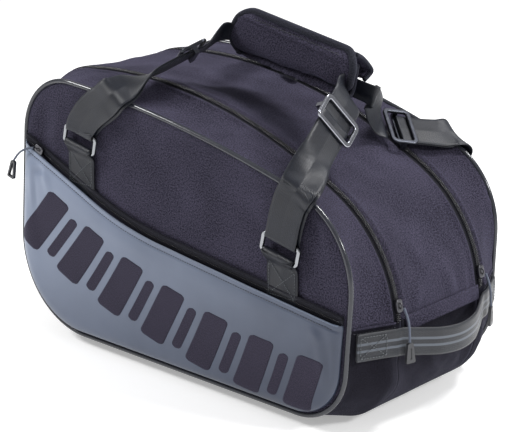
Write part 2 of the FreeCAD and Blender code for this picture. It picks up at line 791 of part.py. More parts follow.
def glides():
    """Three-bar glides: a flat frame above the webbing and one bar beneath it."""
    for name, (spot, toward, across) in glide_frames().items():
        depth, side = name.split("_")
        label = "%s_glide_%s" % (depth, side)
        along = Vector(toward).normalize()
        wide = Vector(*across)
        wide = (wide - along * wide.dot(along)).normalize()
        outward = wide.cross(along)
        if outward.dot(Vector(*GLIDE_FACES[name])) < 0:
            outward = outward * -1
            wide = wide * -1
        body = document.addObject("PartDesign::Body", label + "_frame")
        sketch = plane_sketch(body, "profile")
        add_rounded(sketch, "Sheet.glide_wide", "Sheet.glide_long", "Sheet.glide_corner")
        add_rounded(sketch, "Sheet.glide_wide - 2*Sheet.glide_bar",
                    "Sheet.glide_long - 2*Sheet.glide_bar", "Sheet.glide_corner - 4")
        pad = body.newObject("PartDesign::Pad", "pad")
        pad.Profile = sketch
        pad.setExpression("Length", "Sheet.glide_thick")
        round_edges(body, 1.2)
        lugs = document.addObject("Part::Feature", label + "_bar")
        reach = size("glide_reach")
        bar = size("glide_bar")
        half = size("glide_wide") / 2
        piece = Part.makeBox(2 * half - 1, bar, 2.6, Vector(-half + 0.5, -bar / 2, -reach))
        for end in (-half + 0.5, half - bar):
            piece = piece.fuse(Part.makeBox(bar - 0.5, bar, reach + 1, Vector(end, -bar / 2, -reach)))
        lugs.Shape = piece.removeSplitter()
        glide = document.addObject("Part::MultiFuse", label)
        glide.Shapes = [body, lugs]
        lift = outward * (size("double_thick") / 2 + 0.5)
        glide.Placement = frame(tuple(Vector(*spot) + lift), tuple(wide), tuple(outward))
        keep(glide, label)


# ---------------------------------------------------------------- grip

def grip_placement(depth, up, lean=0.0):
    """Local X along the grip, local Y up it, local Z towards the front."""
    turn = math.radians(GRIP_TILT)
    along = Vector(math.cos(turn), 0, math.sin(turn))
    rise = Vector(*grip_up())
    angle = math.radians(lean)
    outward = Vector(0, -1, 0) * math.cos(angle) + rise * math.sin(angle)
    return frame(grip_point(0, depth, up), tuple(along), tuple(outward))


def grip_pad():
    body = document.addObject("PartDesign::Body", "grip_pad")
    rounded_pad(body, "grip_long", "grip_high", "grip_corner", "grip_thick")
    round_edges(body, 2.6)
    body.Placement = grip_placement(-10, 0)
    keep(body, "grip_pad")


def grip_binding():
    """The bound edge along the top and both ends of the front pad."""
    half = size("grip_long") / 2 + 0.6
    high = size("grip_high") / 2 + 0.6
    corner = size("grip_corner")
    radius = size("binding_radius")
    cut = math.sqrt(0.5)
    low = -high + 9

    def point(x, y):
        return Vector(x, y, size("grip_thick") / 2)

    def corner_arc(sign):
        middle = point(sign * (half - corner + corner * cut), high - corner + corner * cut)
        return Part.Arc(point(sign * half, high - corner), middle,
                        point(sign * (half - corner), high)).toShape()

    path = Part.Wire([
        Part.LineSegment(point(-half, low), point(-half, high - corner)).toShape(),
        corner_arc(-1),
        Part.LineSegment(point(-half + corner, high), point(half - corner, high)).toShape(),
        corner_arc(1),
        Part.LineSegment(point(half, high - corner), point(half, low)).toShape(),
    ])
    circle = Part.Wire(Part.makeCircle(radius, point(-half, low), Vector(0, 1, 0)))
    sweep = path.makePipeShell([circle], True, True)
    pad = [item for item in nodes if item.Label == "grip_pad"][0]
    local = pad.Shape.copy()
    local.Placement = FreeCAD.Placement()
    item = document.addObject("Part::Feature", "grip_binding")
    item.Shape = sweep.cut(local)
    item.Placement = grip_placement(-10, 0)
    keep(item, "grip_binding")


def grip_back():
    """The wall behind the front webbing, and the bottom fold that carries the front pad."""
    thick = size("grip_back_thick")
    high = size("grip_high") - 2
    body = document.addObject("PartDesign::Body", "grip_back")
    sketch = plane_sketch(body, "profile", "YZ_Plane")
    low = -high / 2
    top = 12
    outline = [(low, -thick), (top, -thick), (top, 0), (low + thick, 0),
               (low + thick, 11), (low, 11)]
    count = len(outline)
    for index, start in enumerate(outline):
        end = outline[(index + 1) % count]
        sketch.addGeometry(Part.LineSegment(Vector(*start, 0), Vector(*end, 0)), False)
    for index in range(count):
        sketch.addConstraint(Sketcher.Constraint("Coincident", index, 2, (index + 1) % count, 1))
    pad = body.newObject("PartDesign::Pad", "pad")
    pad.Profile = sketch
    pad.Midplane = True
    pad.setExpression("Length", "Sheet.grip_long - 8")
    body.Placement = grip_placement(1.5, 0)
    keep(body, "grip_back")


def grip_hood():
    """The rear half of the wrap, which reaches over the rear webbing."""
    box = document.addObject("Part::Box", "grip_hood_box")
    box.setExpression("Length", "Sheet.hood_long")
    box.setExpression("Width", "Sheet.hood_deep")
    box.setExpression("Height", "Sheet.hood_thick")
    document.recompute()
    fillet = document.addObject("Part::Fillet", "grip_hood")
    fillet.Base = box
    fillet.Edges = [(index + 1, 2.0, 2.0) for index in range(12)]
    turn = FreeCAD.Rotation(Vector(0, 1, 0), -GRIP_TILT)
    slope = FreeCAD.Rotation(Vector(1, 0, 0), -26)
    corner = Vector(*grip_point(-size("hood_long") / 2 + 3, -7, 19.5))
    fillet.Placement = FreeCAD.Placement(corner, turn.multiply(slope))
    keep(fillet, "grip_hood")


# ---------------------------------------------------------------- side grab handle

def grab_handle():
    """Webbing sewn flat at both ends and bowed out between them, for the fingers."""
    bow = [(-117, 240.2, 97), (-100, 247.8, 97), (-84, 255.0, 97), (-76, 257.9, 96.5),
           (-66, 259.6, 95.5), (-48, 267, 92.5), (-24, 276, 89), (2, 280, 87.5), (28, 277, 89),
           (50, 268, 92.5), (67, 259.6, 95.5), (77, 257.6, 96.5), (84, 255.0, 97),
           (100, 247.8, 97), (117, 240.2, 97)]
    stations = [((x, y, z), (0, 0, 1)) for y, x, z in bow]
    item = document.addObject("Part::Feature", "grab_handle")
    item.Shape = ribbon(stations, size("grab_wide"), size("double_thick"))
    keep(item, "grab_handle")


# ---------------------------------------------------------------- zip sliders and pulls

def slider(label, origin, along, outward):
    """A zip slider: a waisted plate with a bail on top for the pull cord."""
    body = document.addObject("PartDesign::Body", label + "_plate")
    sketch = plane_sketch(body, "profile")
    add_rounded(sketch, "Sheet.slider_long", "Sheet.slider_wide", "Sheet.slider_wide - 6.2")
    pad = body.newObject("PartDesign::Pad", "pad")
    pad.Profile = sketch
    pad.setExpression("Length", "Sheet.slider_thick")
    round_edges(body, 1.0)
    bail = document.addObject("Part::Torus", label + "_bail")
    bail.Radius1 = 2.7
    bail.Radius2 = 0.8
    bail.Angle3 = 180
    level = size("slider_thick") - 0.5
    bail.Placement = FreeCAD.Placement(Vector(0, 0, level), FreeCAD.Rotation(Vector(1, 0, 0), 90))
    whole = document.addObject("Part::MultiFuse", label)
    whole.Shapes = [body, bail]
    whole.Placement = frame(origin, along, outward)
    keep(whole, label)


def smooth_path(points):
    """Straight runs joined by tangent arcs, each arc as large as its runs allow."""
    points = [Vector(*point) for point in points]
    edges = []
    cursor = points[0]
    for before, point, after in zip(points, points[1:], points[2:]):
        inward = (point - before).normalize()
        outward = (after - point).normalize()
        turn = inward.getAngle(outward)
        run = 0.45 * min((point - before).Length, (after - point).Length)
        radius = run / math.tan(turn / 2)
        start = point - inward * run
        end = point + outward * run
        toward = (outward - inward).normalize()
        middle = point + toward * (radius / math.cos(turn / 2) - radius)
        edges.append(Part.LineSegment(cursor, start).toShape())
        edges.append(Part.Arc(start, middle, end).toShape())
        print("cord bend radius %.1f" % radius)
        cursor = end
    edges.append(Part.LineSegment(cursor, points[-1]).toShape())
    return Part.Wire(edges)


def cord(label, points):
    path = smooth_path(points)
    first = path.OrderedEdges[0]
    along = first.tangentAt(first.FirstParameter)
    radius = size("cord_radius")
    circle = Part.Wire(Part.makeCircle(radius, Vector(*points[0]), along))
    item = document.addObject("Part::Feature", label)
    item.Shape = path.makePipeShell([circle], True, True)
    expected = math.pi * radius ** 2 * path.Length
    print("%s length %.1f volume ratio %.3f" % (label, path.Length, item.Shape.Volume / expected))
    keep(item, label)


def tab(label, origin, along, outward, open_frame):
    """A pull tab that widens away from its cord: solid, or an open frame."""
    long = size("tab_long")
    end = size("tab_wide") / 2
    neck = size("tab_neck") / 2
    thick = size("tab_thick")

    def trapezoid(inset):
        near, far = inset, long - inset
        corners = [(near, inset - neck), (far, inset - end), (far, end - inset), (near, neck - inset)]
        points = [Vector(x, y, -thick / 2) for x, y in corners]
        return Part.Face(Part.makePolygon(points + points[:1])).extrude(Vector(0, 0, thick))

    shape = trapezoid(0.0)
    upright = [edge for edge in shape.Edges
               if abs(edge.tangentAt(edge.FirstParameter).z) > 0.99]
    shape = shape.makeFillet(1.6, upright)
    if open_frame:
        shape = shape.cut(trapezoid(2.2))
    else:
        slot = Part.makeBox(long - 9, 2.4, 1.0, Vector(5, -1.2, thick / 2 - 0.6))
        shape = shape.cut(slot)
    item = document.addObject("Part::Feature", label)
    item.Shape = shape
    item.Placement = frame(origin, along, outward)
    keep(item, label)


def shoulder_slider(label, y):
    """A slider at the right end of a zip, on the round shoulder of the middle outline."""
    x, z, r = outline_data("middle")["topright"]
    angle = math.radians(12.6)
    outward = (math.cos(angle), 0, math.sin(angle))
    along = (-math.sin(angle), 0, math.cos(angle))
    reach = r + 0.6
    origin = (x + reach * outward[0], y, z + reach * outward[2])
    slider(label, origin, along, outward)


def sliders_and_pulls():
    zip_line = size("zip_station")
    shoulder_slider("front_zip_slider", -zip_line)
    shoulder_slider("rear_zip_slider", zip_line)
    for depth, sign in (("front", -1), ("rear", 1)):
        y = sign * zip_line
        route = [(260.2, y, 131.2), (263.6, y + 0.6, 124.2), (265.8, y + 1.4, 116),
                 (266.8, y + 1.8, 106.5), (267, y + 2.4, 96.5)]
        cord("%s_zip_cord" % depth, route)
        tab("%s_zip_tab" % depth, (267.1, y + 2.4, 96.1), (0.02, 0.06, -1), (1, 0.35 * sign, 0), False)

    x, z, r = outline_data("middle")["crown"]
    angle = math.radians(90 - 6.7)
    outward = (math.cos(angle), 0, math.sin(angle))
    along = (math.sin(angle), 0, -math.cos(angle))
    reach = r + 0.6
    origin = (x + reach * outward[0], zip_line, z + reach * outward[2])
    slider("rear_top_slider", origin, along, outward)
    cord("rear_top_cord", [(-36.2, 70, 308.1), (-30, 68.5, 309.6), (-23, 66, 307.4),
                           (-15, 63.5, 303.6), (-8, 62, 302)])
    tab("rear_top_tab", (-7.7, 61.9, 301.9), (1, -0.15, -0.17), (0.17, 0, 1), False)

    slope = math.atan2(155.5 - 238.5, -64 + 262)
    along = (math.cos(slope), 0, math.sin(slope))
    slider("pocket_slider", (-196.5, -size("panel_face") - 4.0, 216.4), along, (0, -1, 0))
    cord("pocket_cord", [(-203, -134.6, 217.6), (-210, -137.4, 216.4), (-218.5, -138.6, 212.2),
                         (-226, -138.9, 206), (-231.5, -139, 199)])
    tab("pocket_tab", (-231.8, -139, 198.2), (-0.25, 0, -0.97), (0, -1, 0), True)


# ---------------------------------------------------------------- build

def check_and_export():
    document.recompute()
    for item in document.Objects:
        if "Invalid" in item.State or "Error" in item.State:
            raise RuntimeError("%s failed: %s" % (item.Name, item.State))
    for item in nodes:
        if item.Shape.isNull() or not item.Shape.isValid():
            raise RuntimeError("%s has no valid shape" % item.Label)
        if item.Shape.Volume <= 0 or not item.Shape.Solids:
            raise RuntimeError("%s is not solid" % item.Label)
    os.makedirs("parts", exist_ok=True)
    for item in nodes:
        item.Shape.exportStep("parts/%s.step" % item.Label)
        box = item.Shape.BoundBox
        print("%-24s %9.0f mm3 %d  x %.1f..%.1f y %.1f..%.1f z %.1f..%.1f" % (
            item.Label, item.Shape.Volume, len(item.Shape.Solids),
            box.XMin, box.XMax, box.YMin, box.YMax, box.ZMin, box.ZMax))
    print("%d nodes" % len(nodes))


fill_sheet()
base_strip()
gussets()
zips()
panel("front_panel", "front", "Sheet.panel_face - Sheet.panel_thick")
panel("rear_panel", "rear", "-Sheet.panel_face")
piping("front_piping", "front", -size("piping_station"))
piping("rear_piping", "rear", size("piping_station"))
base_board()
divider()
pocket()
pocket_zip()
anchors()
rings()
straps()
glides()
grip_pad()
grip_binding()
grip_back()
grip_hood()
grab_handle()
sliders_and_pulls()
check_and_export()
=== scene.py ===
import json
import math

import bmesh
import bpy
import numpy as np
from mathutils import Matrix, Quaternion, Vector, noise
from mathutils.bvhtree import BVHTree


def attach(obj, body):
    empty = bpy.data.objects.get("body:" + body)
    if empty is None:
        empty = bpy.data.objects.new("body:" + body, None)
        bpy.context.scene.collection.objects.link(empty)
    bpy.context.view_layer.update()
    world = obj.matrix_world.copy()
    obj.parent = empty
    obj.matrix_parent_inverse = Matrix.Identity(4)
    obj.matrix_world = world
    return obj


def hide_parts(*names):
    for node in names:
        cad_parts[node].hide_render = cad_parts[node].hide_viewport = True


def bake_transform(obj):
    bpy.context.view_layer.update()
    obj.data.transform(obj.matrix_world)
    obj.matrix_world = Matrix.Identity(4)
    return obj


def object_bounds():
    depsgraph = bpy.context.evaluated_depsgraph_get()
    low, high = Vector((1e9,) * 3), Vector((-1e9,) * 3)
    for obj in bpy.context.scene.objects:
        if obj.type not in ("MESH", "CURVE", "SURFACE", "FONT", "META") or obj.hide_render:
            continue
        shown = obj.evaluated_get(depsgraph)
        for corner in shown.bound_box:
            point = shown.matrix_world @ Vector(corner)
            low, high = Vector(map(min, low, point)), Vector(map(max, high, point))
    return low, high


# A soft sports case for court rackets: fabric body, two zipped covers, coated front pocket,
# webbing handles with a wrap grip and a side grab handle. Metres, +Z up, -Y the front.

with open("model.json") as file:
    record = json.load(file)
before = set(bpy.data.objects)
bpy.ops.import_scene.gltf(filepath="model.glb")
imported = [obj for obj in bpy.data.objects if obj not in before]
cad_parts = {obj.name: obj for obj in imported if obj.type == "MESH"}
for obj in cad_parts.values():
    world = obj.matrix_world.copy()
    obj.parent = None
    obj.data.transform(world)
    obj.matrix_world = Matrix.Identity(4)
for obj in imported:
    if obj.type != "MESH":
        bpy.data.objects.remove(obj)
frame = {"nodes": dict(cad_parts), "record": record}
cad_low, cad_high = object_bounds()
NODES = frame["nodes"]

PIPING_Y = 0.124
COVER_EDGE = 0.1222
PANEL_FACE = 0.126
ZIP_Y = 0.070
CHANNEL = 0.0046
TAPE_HALF = 0.008
HEM = 0.116
POCKET_BACK = 0.1263
POCKET_DEPTH = 0.0085


def mm(*values):
    """A point given in millimetres, as a vector in metres."""
    return np.array(values, float) * 0.001


def smooth(value):
    value = np.clip(value, 0.0, 1.0)
    return value * value * (3 - 2 * value)


def unit(vector):
    vector = np.asarray(vector, float)
    return vector / np.linalg.norm(vector, axis=-1, keepdims=True)


# ---------------------------------------------------------------- outlines

# Each outline: floor, then (x, r) of the lower corners and shoulders, then the crown's (x, z, r).
OUTLINES = {
    "front": (0.012, (-0.137, 0.097), (0.173, 0.060), (0.142, 0.095), (-0.158, 0.068),
              (-0.242, -1.150, 1.450)),
    "middle": (0.0, (-0.140, 0.107), (0.184, 0.070), (0.104, 0.151), (-0.171, 0.070),
               (-0.110, -0.278, 0.584)),
    "rear": (0.012, (-0.137, 0.097), (0.173, 0.060), (0.139, 0.095), (-0.158, 0.068),
             (-0.159, -0.644, 0.949)),
}


def trace(name, inset=0.0):
    """An outline as a closed polyline of (x, z), anticlockwise from its lower right corner."""
    floor, lowleft, lowright, topright, topleft, crown = OUTLINES[name]
    circles = {"crown": crown}
    for key, (x, r) in (("lowleft", lowleft), ("lowright", lowright)):
        circles[key] = (x, floor + r, r)
    for key, (x, r) in (("topright", topright), ("topleft", topleft)):
        reach = math.sqrt((crown[2] - r) ** 2 - (x - crown[0]) ** 2)
        circles[key] = (x, crown[1] + reach, r)

    def lean(first, second):
        across = second[0] - first[0]
        up = second[1] - first[1]
        return math.atan2(up, across) - math.acos((first[2] - second[2]) / math.hypot(across, up))

    right = lean(circles["lowright"], circles["topright"])
    left = lean(circles["topleft"], circles["lowleft"]) + 2 * math.pi
    meets = [math.atan2(circles[key][1] - crown[1], circles[key][0] - crown[0])
             for key in ("topright", "topleft")]
    down = -math.pi / 2
    turns = (("lowright", down, right), ("topright", right, meets[0]),
             ("crown", meets[0], meets[1]), ("topleft", meets[1], left),
             ("lowleft", left, down + 2 * math.pi))
    points = []
    for key, start, end in turns:
        x, z, r = circles[key]
        count = max(12, int(abs(end - start) * r / 0.002))
        angles = np.linspace(start, end, count)
        points.append(np.stack([x + (r - inset) * np.cos(angles),
                                z + (r - inset) * np.sin(angles)], 1))
    return np.concatenate(points)


def lengths(points):
    steps = np.linalg.norm(np.diff(points, axis=0), axis=1)
    return np.concatenate([[0.0], np.cumsum(steps)])


def resample(points, count):
    """The same polyline, with points evenly spaced along its first three columns."""
    run = lengths(points[:, :3])
    places = np.linspace(0, run[-1], count)
    return np.stack([np.interp(places, run, points[:, k]) for k in range(points.shape[1])], 1)


def stand(flat, depth):
    """(x, z) points as (x, y, z) ones, with their depth y."""
    return np.stack([flat[..., 0], np.broadcast_to(depth, flat.shape[:-1]), flat[..., 1]], -1)


def cut(points, height, keep):
    """The open part of a closed outline above or below a height."""
    ring = np.concatenate([points, points[:1]])
    rising = [i for i in range(len(ring) - 1) if ring[i, 1] < height <= ring[i + 1, 1]][0]
    falling = [i for i in range(len(ring) - 1) if ring[i, 1] >= height > ring[i + 1, 1]][0]

    def crossing(i):
        share = (height - ring[i, 1]) / (ring[i + 1, 1] - ring[i, 1])
        return (ring[i] + (ring[i + 1] - ring[i]) * share)[None]

    if keep == "above":
        return np.concatenate([crossing(rising), ring[rising + 1:falling + 1], crossing(falling)])
    return np.concatenate([crossing(falling), ring[falling + 1:-1], ring[:rising + 1],
                           crossing(rising)])


def loft_grid(stations, columns, rows_apart, keep):
    """Rows of points lofted through (outline, y) stations."""
    sections = [resample(cut(trace(name), HEM, keep), columns) for name, _ in stations]
    depths = [y for _, y in stations]
    rows = []
    for first, second, y0, y1 in zip(sections, sections[1:], depths, depths[1:]):
        steps = max(1, int(round(abs(y1 - y0) / rows_apart)))
        for step in range(steps):
            share = step / steps
            rows.append(stand(first + (second - first) * share, y0 + (y1 - y0) * share))
    rows.append(stand(sections[-1], depths[-1]))
    return np.array(rows)


def grid_normals(grid, outward):
    """Unit normals of a grid of points, turned towards the outward direction at its middle."""
    along = np.gradient(grid, axis=1)
    across = np.gradient(grid, axis=0)
    normals = unit(np.cross(along, across) + 1e-15)
    middle = normals[grid.shape[0] // 2, grid.shape[1] // 2]
    return normals if middle @ np.asarray(outward, float) > 0 else -normals


# ---------------------------------------------------------------- relief

def rumple(grid, scale, octaves=3, seed=0.0):
    """Smooth noise between about -1 and 1 at each point."""
    flat = grid.reshape(-1, 3) * scale + seed
    values = [noise.fractal(Vector(point), 0.9, 2.0, octaves) for point in flat]
    return np.array(values).reshape(grid.shape[:-1])


def fold(grid, start, end, width, height):
    """A soft ridge (or valley, with a negative height) along a line, fading at its ends."""
    start = np.asarray(start)
    line = np.asarray(end) - start
    share = np.clip(((grid - start) @ line) / (line @ line), 0, 1)
    away = np.linalg.norm(grid - (start + share[..., None] * line), axis=-1)
    return height * np.exp(-(away / width) ** 2) * (0.35 + 0.65 * np.sin(share * math.pi))


# ---------------------------------------------------------------- meshes

def store_vectors(mesh, name, values):
    """Keeps one vector for each vertex, under a name that materials can read."""
    store = mesh.attributes.get(name) or mesh.attributes.new(name, "FLOAT_VECTOR", "POINT")
    store.data.foreach_set("vector", np.asarray(values, np.float32).ravel())


def new_object(name, vertices, faces, weave=None):
    mesh = bpy.data.meshes.new(name)
    mesh.from_pydata([tuple(v) for v in vertices], [], faces)
    mesh.validate()
    mesh.shade_smooth()
    store_vectors(mesh, "weave", vertices if weave is None else weave)
    piece = bpy.data.objects.new(name, mesh)
    bpy.context.scene.collection.objects.link(piece)
    return piece


def closed_object(name, vertices, faces, weave=None):
    """A closed mesh with its faces turned outwards."""
    piece = new_object(name, vertices, faces, weave)
    work = bmesh.new()
    work.from_mesh(piece.data)
    bmesh.ops.recalc_face_normals(work, faces=work.faces)
    work.to_mesh(piece.data)
    work.free()
    return piece


def ring_faces(first, rings, size):
    """Faces of a capped tube: rings of vertices that follow one another from a first one."""
    faces = []
    for start in range(first, first + (rings - 1) * size, size):
        for k in range(size):
            a, b = start + k, start + (k + 1) % size
            faces.append((a, b, b + size, a + size))
    last = first + (rings - 1) * size
    return faces + [tuple(range(first, first + size))[::-1], tuple(range(last, last + size))]


def grid_weave(grid):
    """Distances along and across the cloth, in metres, for its weave."""
    across = np.linalg.norm(np.diff(grid, axis=0), axis=2).mean(axis=1)
    along = np.linalg.norm(np.diff(grid, axis=1), axis=2).mean(axis=0)
    v = np.concatenate([[0], np.cumsum(across)])
    u = np.concatenate([[0], np.cumsum(along)])
    weave = np.zeros(grid.shape)
    weave[..., 0] = u[None, :]
    weave[..., 1] = v[:, None]
    return weave


def slab(name, outer, inner):
    """A closed sheet between an outer and an inner grid of the same size."""
    rows, columns = outer.shape[:2]
    count = rows * columns

    def spot(i, j, layer):
        return layer * count + i * columns + j

    faces = []
    for i in range(rows - 1):
        for j in range(columns - 1):
            around = ((i, j), (i, j + 1), (i + 1, j + 1), (i + 1, j))
            faces.append(tuple(spot(a, b, 0) for a, b in around))
            faces.append(tuple(spot(a, b, 1) for a, b in (around[0], *around[:0:-1])))
    rim = [(0, j) for j in range(columns)] + [(i, columns - 1) for i in range(1, rows)]
    rim += [(rows - 1, j) for j in range(columns - 2, -1, -1)]
    rim += [(i, 0) for i in range(rows - 2, 0, -1)]
    for (i, j), (k, m) in zip(rim, rim[1:] + rim[:1]):
        faces.append((spot(i, j, 1), spot(k, m, 1), spot(k, m, 0), spot(i, j, 0)))
    weave = grid_weave(outer).reshape(-1, 3)
    vertices = np.concatenate([outer.reshape(-1, 3), inner.reshape(-1, 3)])
    return closed_object(name, vertices, faces, np.concatenate([weave, weave]))


def cloth(name, grid, outward, thick, lift=0.0):
    """A closed sheet of the given thickness whose outer face is a grid, raised by lift."""
    normals = grid_normals(grid, outward)
    lift = np.asarray(lift)
    outer = grid + normals * (lift[..., None] if lift.ndim else lift)
    return slab(name, outer, outer - normals * thick)


def disc(name, rings, centre, outward, thick):
    """A closed flat sheet: rings of points from the inside out, round a centre point."""
    outward = np.asarray(outward, float)
    rows, columns = rings.shape[:2]
    size = rows * columns + 1
    outer = np.concatenate([[centre], rings.reshape(-1, 3)])
    vertices = np.concatenate([outer, outer - outward * thick])
    faces = []
    for j in range(columns):
        k = (j + 1) % columns
        for layer in (0, size):
            faces.append((layer, layer + 1 + j, layer + 1 + k))
            for i in range(rows - 1):
                a, b = layer + 1 + i * columns + j, layer + 1 + i * columns + k
                faces.append((a, a + columns, b + columns, b))
        last = 1 + (rows - 1) * columns
        faces.append((last + j, last + k, size + last + k, size + last + j))
    weave = np.stack([vertices[:, 0], vertices[:, 2], np.zeros(len(vertices))], 1)
    return closed_object(name, vertices, faces, weave)


def curve_through(points, count):
    """A Catmull-Rom curve through rows of numbers, evenly resampled."""
    points = np.asarray(points, float)
    padded = np.concatenate([2 * points[:1] - points[1:2], points, 2 * points[-1:] - points[-2:-1]])
    samples = []
    for i in range(1, len(padded) - 2):
        p0, p1, p2, p3 = padded[i - 1:i + 3]
        for t in np.linspace(0, 1, 24, endpoint=False):
            samples.append(0.5 * (2 * p1 + (p2 - p0) * t + (2 * p0 - 5 * p1 + 4 * p2 - p3) * t * t
                                  + (3 * p1 - p0 - 3 * p2 + p3) * t ** 3))
    samples.append(padded[-2])
    return resample(np.array(samples), count)


def tube(name, path, radius, sides=12):
    """A capped tube along a polyline."""
    path = np.asarray(path, float)
    tangents = unit(np.gradient(path, axis=0))
    side = unit(np.cross(tangents[0], [0.31, 0.27, 0.91]))
    vertices, weave = [], []
    run = lengths(path)
    for i, (point, tangent) in enumerate(zip(path, tangents)):
        side = unit(side - tangent * (side @ tangent))
        up = np.cross(tangent, side)
        for k in range(sides):
            angle = 2 * math.pi * k / sides
            vertices.append(point + radius * (side * math.cos(angle) + up * math.sin(angle)))
            weave.append((run[i], radius * angle, 0))
    return closed_object(name, vertices, ring_faces(0, len(path), sides), weave)


def band(name, centres, across, wide, thick, count):
    """Webbing: a rounded flat section along a curve, with its width direction at each point."""
    centres = np.asarray(centres, float)
    across = np.asarray(across, float)
    wide = np.broadcast_to(wide, (len(centres),)).astype(float)
    joined = np.concatenate([centres, unit(across) * 0.02, wide[:, None]], 1)
    joined = curve_through(joined, count)
    centres, across, wide = joined[:, :3], joined[:, 3:6], joined[:, 6]
    tangents = unit(np.gradient(centres, axis=0))
    run = lengths(centres)
    inner = np.linspace(-1, 1, 15)
    top = [(s, 1.0) for s in inner]
    bottom = [(s, -1.0) for s in inner[::-1]]
    section = [(-1.012, 0.0)] + top + [(1.012, 0.0)] + bottom
    vertices, weave = [], []
    for i in range(len(centres)):
        side = unit(across[i] - tangents[i] * (across[i] @ tangents[i]))
        normal = np.cross(tangents[i], side)
        for s, level in section:
            ridge = 1.0 - 0.45 * smooth((abs(s) - 0.93) / 0.07)
            vertices.append(centres[i] + side * s * wide[i] / 2
                            + normal * (level * ridge * thick / 2))
            weave.append((run[i], s * wide[i] / 2, 0.0 if level >= 0 else 1.0))
    faces = ring_faces(0, len(centres), len(section))
    return closed_object(name, vertices, faces, weave)


def stitches(name, lines, normals, pitch=0.0032, long=0.0022, thick=0.0004, lift=0.0002):
    """Rows of sewn stitches: a small thread over the cloth for each one."""
    vertices, faces = [], []
    for line, normal in zip(lines, normals):
        line = np.asarray(line, float)
        run = lengths(line)
        count = max(2, int(run[-1] / pitch))
        normal = np.broadcast_to(np.asarray(normal, float), line.shape)
        for k in range(count):
            ends = [(k + 0.5) * pitch - long / 2, (k + 0.5) * pitch + long / 2]
            if ends[1] > run[-1]:
                break
            a, b = [np.array([np.interp(e, run, line[:, c]) for c in range(3)]) for e in ends]
            n = unit([np.interp(sum(ends) / 2, run, normal[:, c]) for c in range(3)])
            along = unit(b - a)
            side = np.cross(n, along)
            faces += ring_faces(len(vertices), 4, 5)
            for share, size in ((0.0, 0.35), (0.2, 1.0), (0.8, 1.0), (1.0, 0.35)):
                centre = a + (b - a) * share + n * lift
                for s, t in ((1, 0), (0.5, 1), (-0.5, 1), (-1, 0), (0, -0.7)):
                    vertices.append(centre + (side * s + n * t) * thick * size)
    return closed_object(name, vertices, faces)


def bake(piece):
    """Applies a piece's modifiers to its mesh."""
    graph = bpy.context.evaluated_depsgraph_get()
    mesh = bpy.data.meshes.new_from_object(piece.evaluated_get(graph))
    piece.modifiers.clear()
    piece.data = mesh


def points_of(mesh):
    places = np.zeros(len(mesh.vertices) * 3, np.float32)
    mesh.vertices.foreach_get("co", places)
    return places.reshape(-1, 3).astype(float)


def move_points(mesh, places):
    mesh.vertices.foreach_set("co", places.astype(np.float32).ravel())
    mesh.update()


def swell(piece, most, voxel=0.003, pressure=4.0, frames=20):
    """Fills a closed pad by a short pressure simulation of its cloth, moving no point too far."""
    remesh = piece.modifiers.new("remesh", "REMESH")
    remesh.mode = "VOXEL"
    remesh.voxel_size = voxel
    bake(piece)
    start = points_of(piece.data)
    modifier = piece.modifiers.new("swell", "CLOTH")
    settings = modifier.settings
    settings.use_pressure = True
    settings.uniform_pressure_force = pressure
    settings.effector_weights.gravity = 0
    for step in range(1, frames + 1):
        bpy.context.scene.frame_set(step)
    bake(piece)
    bpy.context.scene.frame_set(1)
    move = points_of(piece.data) - start
    far = np.linalg.norm(move, axis=1, keepdims=True)
    places = start + move * np.minimum(1.0, most / np.maximum(far, 1e-9))
    move_points(piece.data, places)
    rounder = piece.modifiers.new("rounder", "SUBSURF")
    rounder.levels = 2
    bake(piece)
    piece.data.shade_smooth()


def lay_weave(piece, along, across):
    """Stores the cloth's weave from distances along two directions."""
    places = points_of(piece.data)
    weave = np.stack([places @ along, places @ across, np.zeros(len(places))], 1)
    store_vectors(piece.data, "weave", weave)


def dropped_on(piece, points, way):
    """Points moved along a direction until they meet a piece."""
    mesh = piece.data
    tree = BVHTree.FromPolygons([v.co for v in mesh.vertices], [f.vertices for f in mesh.polygons])
    landed = []
    for point in points:
        place = tree.ray_cast(Vector(point - 0.03 * way), Vector(way))[0]
        landed.append(point if place is None else np.array(place))
    return np.array(landed)


# ---------------------------------------------------------------- materials

